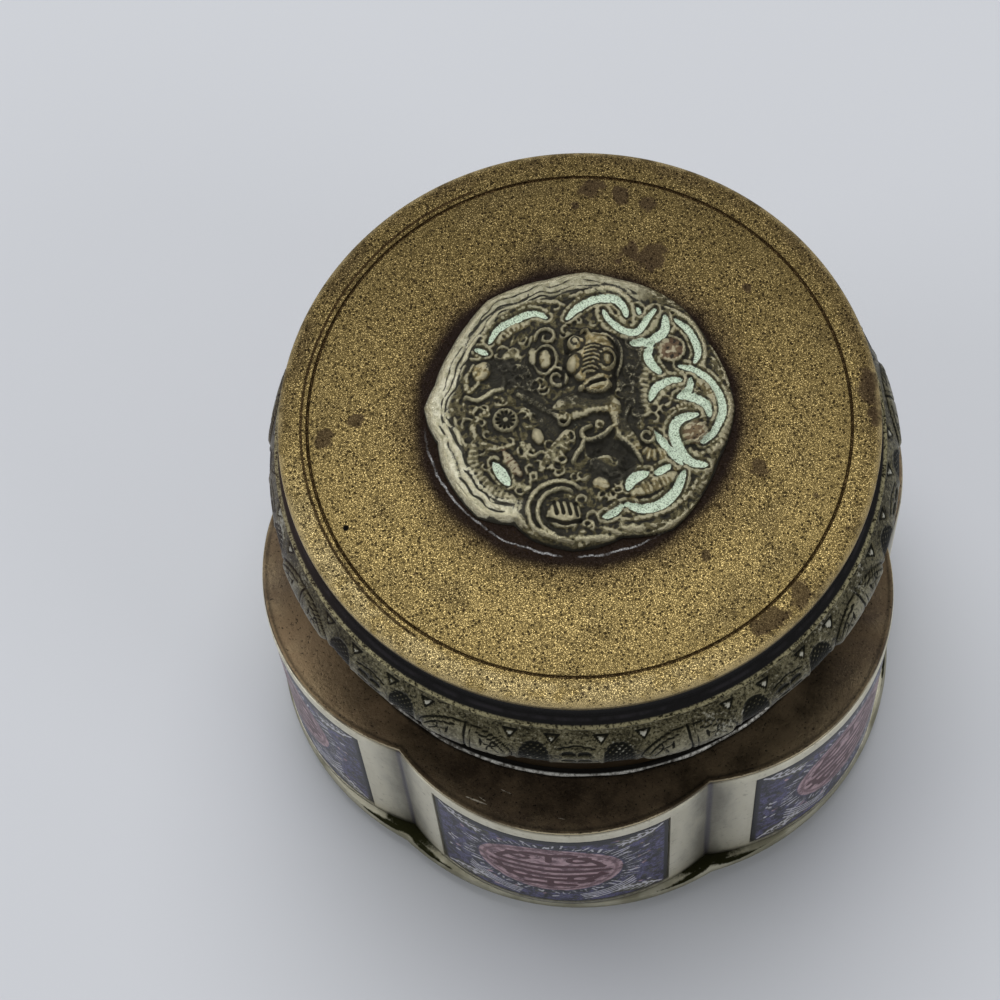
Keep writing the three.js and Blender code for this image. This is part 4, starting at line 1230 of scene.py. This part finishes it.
# Beast's head: broad brow, round eyes, ridged nose and a wide muzzle.
knob(1.1, 7.6, 3.3, 4.2, 2.1, 8, "gilt", 1.0)
knob(-1.5, 9.6, 1.15, 1.1, 2.1, 0, "gilt", 1.0)
knob(-1.4, 6.4, 0.95, 1.4, 2.0, 0, "gilt", 1.0)
scored([(-2.6, 8.5), (-1.4, 8.2), (-0.5, 8.6)], 0.22, 0.7)
rib(arc(3.0, 7.4, 1.05, 0, 360, 12, 1.3), 0.26, 2.3, "gilt")
knob(3.0, 7.4, 0.55, 0.8, 2.4, 0, "gilt")
for step in range(7):
    nose = 5.0 + 0.62 * step
    rib([(0.2, nose), (1.2, nose + 0.35), (2.2, nose + 0.05)], 0.24, 2.45, "gilt")
    inked([(0.0, nose + 0.25), (1.2, nose + 0.68), (2.3, nose + 0.36)], 0.07)
inked(arc(3.0, 7.4, 1.5, -160, 160, 14, 1.25), 0.1)
inked(arc(3.0, 7.4, 0.8, 0, 360, 12, 1.25), 0.07)
inked(arc(-1.4, 6.4, 1.1, -60, 250, 12, 1.35), 0.1)
inked(arc(-1.5, 9.6, 1.3, -90, 200, 12), 0.1)
inked(arc(-1.5, 9.6, 0.5, 0, 300, 9), 0.07)
inked([(-2.4, 3.6), (-2.6, 5.6), (-2.4, 7.8), (-2.7, 9.8),
       (-1.2, 11.6), (1.4, 12.0), (3.6, 11.0), (4.5, 8.6)], 0.14)
inked([(4.5, 8.6), (4.3, 5.6), (4.2, 3.4), (2.9, 2.1), (1.0, 1.9), (-0.6, 2.4)], 0.14)
knob(2.0, 3.9, 2.0, 1.5, 2.1, 12, "gilt", 1.0)
rib([(0.3, 3.6), (1.2, 2.7), (2.9, 2.9), (3.9, 4.2)], 0.28, 2.2, "gilt")
scored([(1.3, 3.7), (2.1, 4.0), (2.9, 4.5)], 0.4, 1.2)
inked([(0.7, 3.2), (1.5, 3.6), (2.2, 3.9), (3.1, 4.5)], 0.16, 0.6)
inked([(0.6, 4.9), (1.4, 5.0), (2.6, 5.4), (3.5, 5.4)], 0.07)
knob(0.1, 3.0, 0.55, 0.5, 1.9, 0, "gilt")
rib([(-0.9, 11.3), (-0.4, 11.8), (0.2, 11.3)], 0.26, 1.9, "gilt")
rib([(0.4, 10.9), (2.6, 11.4), (4.3, 10.0), (4.8, 7.8), (4.4, 5.6)], 0.4, 1.2)

# Rosette, oval bead and the twisted stem between them.
ROSETTE_CUTS = 12
knob(-9.4, -2.2, 1.75, 1.75, 1.0, 0, "pale", 0.55)
rib(arc(-9.4, -2.2, 1.45, 0, 360, 20), 0.3, 1.1, "pale", 0.7)
for cut in range(ROSETTE_CUTS):
    turn = 2 * math.pi * cut / ROSETTE_CUTS
    ends = [(-9.4 + r * math.cos(turn), -2.2 + r * math.sin(turn)) for r in (0.5, 1.2)]
    scored(ends, 0.24, 0.8)
knob(-4.9, -4.1, 0.85, 1.25, 1.0, 25, "gilt", 0.7)
rib([(-7.0, -5.2), (-6.2, -6.3), (-5.2, -6.9), (-4.3, -6.0)], 0.26, 0.6, "pale")
rib([(-8.2, 1.7), (-6.4, 0.9), (-4.7, 0.0), (-3.2, -0.8)], 0.55, 0.9, "pale", 0.6, 0.55, 0.7)
rib([(-3.2, -0.8), (-1.8, -1.1), (0.2, -0.4), (1.8, 0.4), (3.2, 0.6)], 0.7, 0.9, wave=0.2)
coil(-1.9, -1.5, 1.1, 0.4, 120, -400, 0.26, 1.0)
rib([(-2.5, -7.4), (-2.5, -5.8), (-1.6, -4.9)], 0.26, 0.6, "pale")
rib([(-4.0, -8.4), (-3.4, -6.4), (-2.6, -4.8)], 0.35, 0.5)

# The beast's body: a forked ridge round a hollow with a gold bead in it.
rib([(-2.8, 0.2), (0.2, 1.2), (3.2, 1.7), (5.2, 0.4)], 1.7, 0.85, wave=0)
rib([(5.0, -0.4), (6.4, -2.6), (8.4, -4.4)], 1.2, 0.8, wave=0.1)
rib([(-1.2, -3.2), (-1.8, -5.4), (-3.6, -7.6)], 1.1, 0.6, wave=0.2, pitch=0.7)
rib([(3.2, 0.4), (4.4, 0.8), (5.0, -0.6), (5.3, -2.0)], 0.75, 1.2, "gilt", 0.4)
rib([(1.9, -1.9), (0.8, -2.8), (1.3, -3.9), (3.0, -3.6), (4.6, -2.0), (5.0, -1.2)], 0.42, 1.2, "pale", 0.5)
rib([(1.2, -3.9), (1.0, -5.0), (0.5, -6.1), (0.0, -7.3)], 0.42, 1.1, "pale", 0.6)
rib([(5.4, -2.4), (6.7, -3.8), (8.2, -5.0), (9.0, -6.1)], 0.42, 1.1, "pale", 0.5)
coil(9.3, -2.5, 1.2, 0.4, 90, -430, 0.28, 0.9)
rib([(6.6, 1.6), (6.2, -0.6), (7.4, -2.4)], 0.4, 0.6)
cast.paint("soot", [(2.6, -5.2), (4.6, -4.4), (6.6, -5.2), (7.2, -7.2), (5.4, -8.4), (3.2, -7.6)],
           0.9, 1.0, 0.6)
scored([(2.8, -5.4), (4.7, -4.6), (6.6, -5.4), (7.0, -7.2)], 1.2, 0.9)
knob(4.0, -7.2, 1.5, 1.2, 0.5, -10)
rib([(2.4, -7.9), (2.7, -6.6), (4.4, -5.9), (5.3, -6.6)], 0.22, 0.7, "pale", 0.4)
knob(4.1, -9.8, 1.25, 0.95, 0.9, -12, "gilt", 1.0)
cast.paint("soot", [(-11.8, 5.6), (-9.8, 5.2), (-9.4, 3.6), (-11.2, 3.4)], 0.9, 1.0, 0.5)
cast.paint("soot", [(-7.4, 5.2), (-7.0, 2.6), (-5.6, 0.6), (-3.4, -2.6)], 1.0, 0.8, 0.8)
cast.paint("soot", [(5.8, 10.2), (6.4, 7.4), (6.2, 4.4), (7.2, 1.4), (6.6, -1.0)], 1.1, 0.75, 0.9)
cast.paint("soot", [(-2.0, 1.6), (0.8, 1.5), (3.2, 1.9)], 0.6, 0.7, 0.8)

# Small curls that fill the ground between the larger forms.
CURL_TRIES = 900
curls = np.random.default_rng(23)
for _ in range(CURL_TRIES):
    x, y = curls.uniform(-16, 17, 2)
    size = curls.uniform(0.65, 1.25)
    start = curls.uniform(0, 360)
    where = cast.window([(x, y), (x, y)], size)
    free = (cast.rise[where] - base[where]).max() < 0.62 and cast.mint[where].max() < 0.1
    if free and flange[where].max() < 0.1 and inset[where].min() > 1.2:
        coil(x, y, size, size * 0.3, start, -235, 0.2, 0.46, wave=0.15)

# Chips and creases in the pale rim.
cast.paint("soot", [(-9.9, -15.8), (-7.9, -16.5)], 0.35, 1.0, 0.3)
scored([(-9.9, -15.9), (-7.8, -16.6)], 0.5, 0.7)
scored([(-15.3, 11.0), (-12.8, 13.8), (-9.2, 15.5), (-8.6, 16.9)], 0.16, 0.2)
scored([(-6.0, 17.2), (-3.0, 17.9), (0.6, 18.6)], 0.16, 0.2)
scored([(-14.0, -13.0), (-13.4, -14.2)], 0.16, 0.25)
cast.pale[:] = np.clip(cast.pale, 0, 1)

grains = np.random.default_rng(11)
swirl = blurred(grains.normal(size=cast.rise.shape), 13)
swirl /= swirl.std()
hair = np.sin(15 * swirl)
on_ground = np.clip(1 - (cast.rise - base) / 0.25, 0, 1) * (1 - flange)
cast.rise += hair * (0.03 * (1 - flange) + 0.075 * on_ground) * (1 - cast.mint)
wander = blurred(grains.normal(size=cast.rise.shape), 9)
wander *= 0.22 / wander.std()
# Cracks along the pale rim: how far in from its edge, and how deep.
RIM_CRACKS = ((0.75, 0.2), (1.5, 0.3), (2.5, 0.34), (3.2, 0.5))
for reach, deep in RIM_CRACKS:
    crack = np.clip(1 - abs(inset + wander - reach) / 0.12, 0, 1) * np.clip(swirl + reach - 1, 0, 1)
    cast.cut[:] = np.maximum(cast.cut, deep * crack * flange)
roughcast = blurred(grains.normal(size=cast.rise.shape), 1) * 0.22
roughcast += grains.normal(size=cast.rise.shape) * 0.015
roughcast += blurred(grains.normal(size=cast.rise.shape), 3) * 0.9
cast.rise += np.clip(inset / 0.6, 0, 1) * (roughcast * (1 - 0.75 * flange) - cast.cut)
softened = blurred(cast.rise, 1)
hollow = blurred(softened, 5) - softened
# Painted highlights on the ridges, from how far they stand above their surroundings.
cast.crest[:] = np.clip(-hollow * 8 - 0.2, 0, 1)
# Painted shade in the hollows, darker the deeper they lie, added to the dirt.
dirt_and_shade = np.maximum(cast.soot * 0.62, hollow * 7 + 0.06 * (1 - flange))
cast.soot[:] = np.clip(dirt_and_shade + cast.cut * 1.6, 0, 1)
cast.soot *= 1 - cast.mint
cast.rise[:] = 0.5 * (cast.rise + softened)

bpy.ops.object.select_all(action="DESELECT")
bpy.ops.mesh.primitive_grid_add(x_subdivisions=CAST_GRID, y_subdivisions=CAST_GRID, size=2)
plaque = bpy.context.object
plaque.name = "cast_medallion"
flat = places_of(plaque) * MM
x = flat[:, 0] * np.sqrt(1 - flat[:, 1] ** 2 / 2)
y = flat[:, 1] * np.sqrt(1 - flat[:, 0] ** 2 / 2)
reach = rim_at(np.arctan2(y, x))
x *= reach
y *= reach
z = MEDALLION_BASE + 0.12 + cast.at("rise", x, y)
plaque.data.vertices.foreach_set("co", (np.stack([x, y, z], 1) * MM).ravel())
for layer in CAST_LAYERS:
    store(plaque, layer, cast.at(layer, x, y))
bpy.ops.object.mode_set(mode="EDIT")
bpy.ops.mesh.select_all(action="DESELECT")
bpy.ops.mesh.select_non_manifold()
bpy.ops.mesh.extrude_edges_move()
for vertex in bmesh.from_edit_mesh(plaque.data).verts:
    if vertex.select:
        vertex.co.z = MEDALLION_BASE * MM
bpy.ops.mesh.edge_face_add()
bpy.ops.mesh.select_all(action="SELECT")
bpy.ops.mesh.normals_make_consistent(inside=False)
bpy.ops.object.mode_set(mode="OBJECT")
bpy.ops.object.shade_smooth_by_angle(angle=math.radians(50))

cast_metal = Finish("cast_metal")
place = cast_metal.place
grit = place.noise(5200, 3, 0.75)
coarse = place.noise(1300, 4, 0.7)
# Dirt, with painted shade in the hollows.
soot = (cast_metal.attribute("soot") + (grit - 0.5) * 1.2 + (coarse - 0.5) * 0.6).ramp(0.18, 0.54)
clouds = coarse.ramp(0.3, 0.7)
metal = clouds.mix(colour(70, 65, 46), colour(134, 126, 94))
pale_tone = clouds.mix(colour(124, 118, 90), colour(196, 190, 154))
metal = (cast_metal.attribute("pale") * 0.7).mix(metal, pale_tone)
# Painted highlight: the pale rim is made brighter towards the lower left.
upward = (place.part(1) + 0.5 * place.part(0)).ramp(-12 * MM, 12 * MM)
pale_rim_and_highlight = cast_metal.attribute("flange") * (1 - upward * 0.6)
metal = pale_rim_and_highlight.mix(metal, clouds.mix(colour(188, 182, 148), colour(255, 250, 224)))
gilt_tone = clouds.mix(colour(106, 95, 62), colour(190, 173, 126))
metal = cast_metal.attribute("gilt").mix(metal, gilt_tone)
metal = (cast_metal.attribute("russet") * 0.5).mix(metal, colour(138, 104, 88))
# Painted highlights on the ridges.
crest = (cast_metal.attribute("crest") + (grit - 0.5) * 0.9).ramp(0.3, 0.75)
metal = (crest * 0.6).mix(metal, colour(228, 220, 186))
metal = (soot * 0.94).mix(metal, grit.mix(colour(10, 10, 7), colour(46, 43, 32)))
mint = (cast_metal.attribute("mint") + (grit - 0.5) * 1.3 + (coarse - 0.5) * 1.0).ramp(0.42, 0.6)
enamel = grit.ramp(0.36, 0.52).mix(colour(96, 114, 90), colour(224, 240, 216))
cast_metal.set(Base_Color=mint.mix(metal, enamel))
cast_metal.set(Metallic=(1 - mint) * (0.85 - soot * 0.6))
cast_metal.set(Roughness=0.34 + 0.3 * soot * (1 - mint))
cast_metal.bump(grit + coarse, 0.00016)
fit(plaque, cast_metal, "cast_metal", "medallion")


bpy.context.view_layer.update()
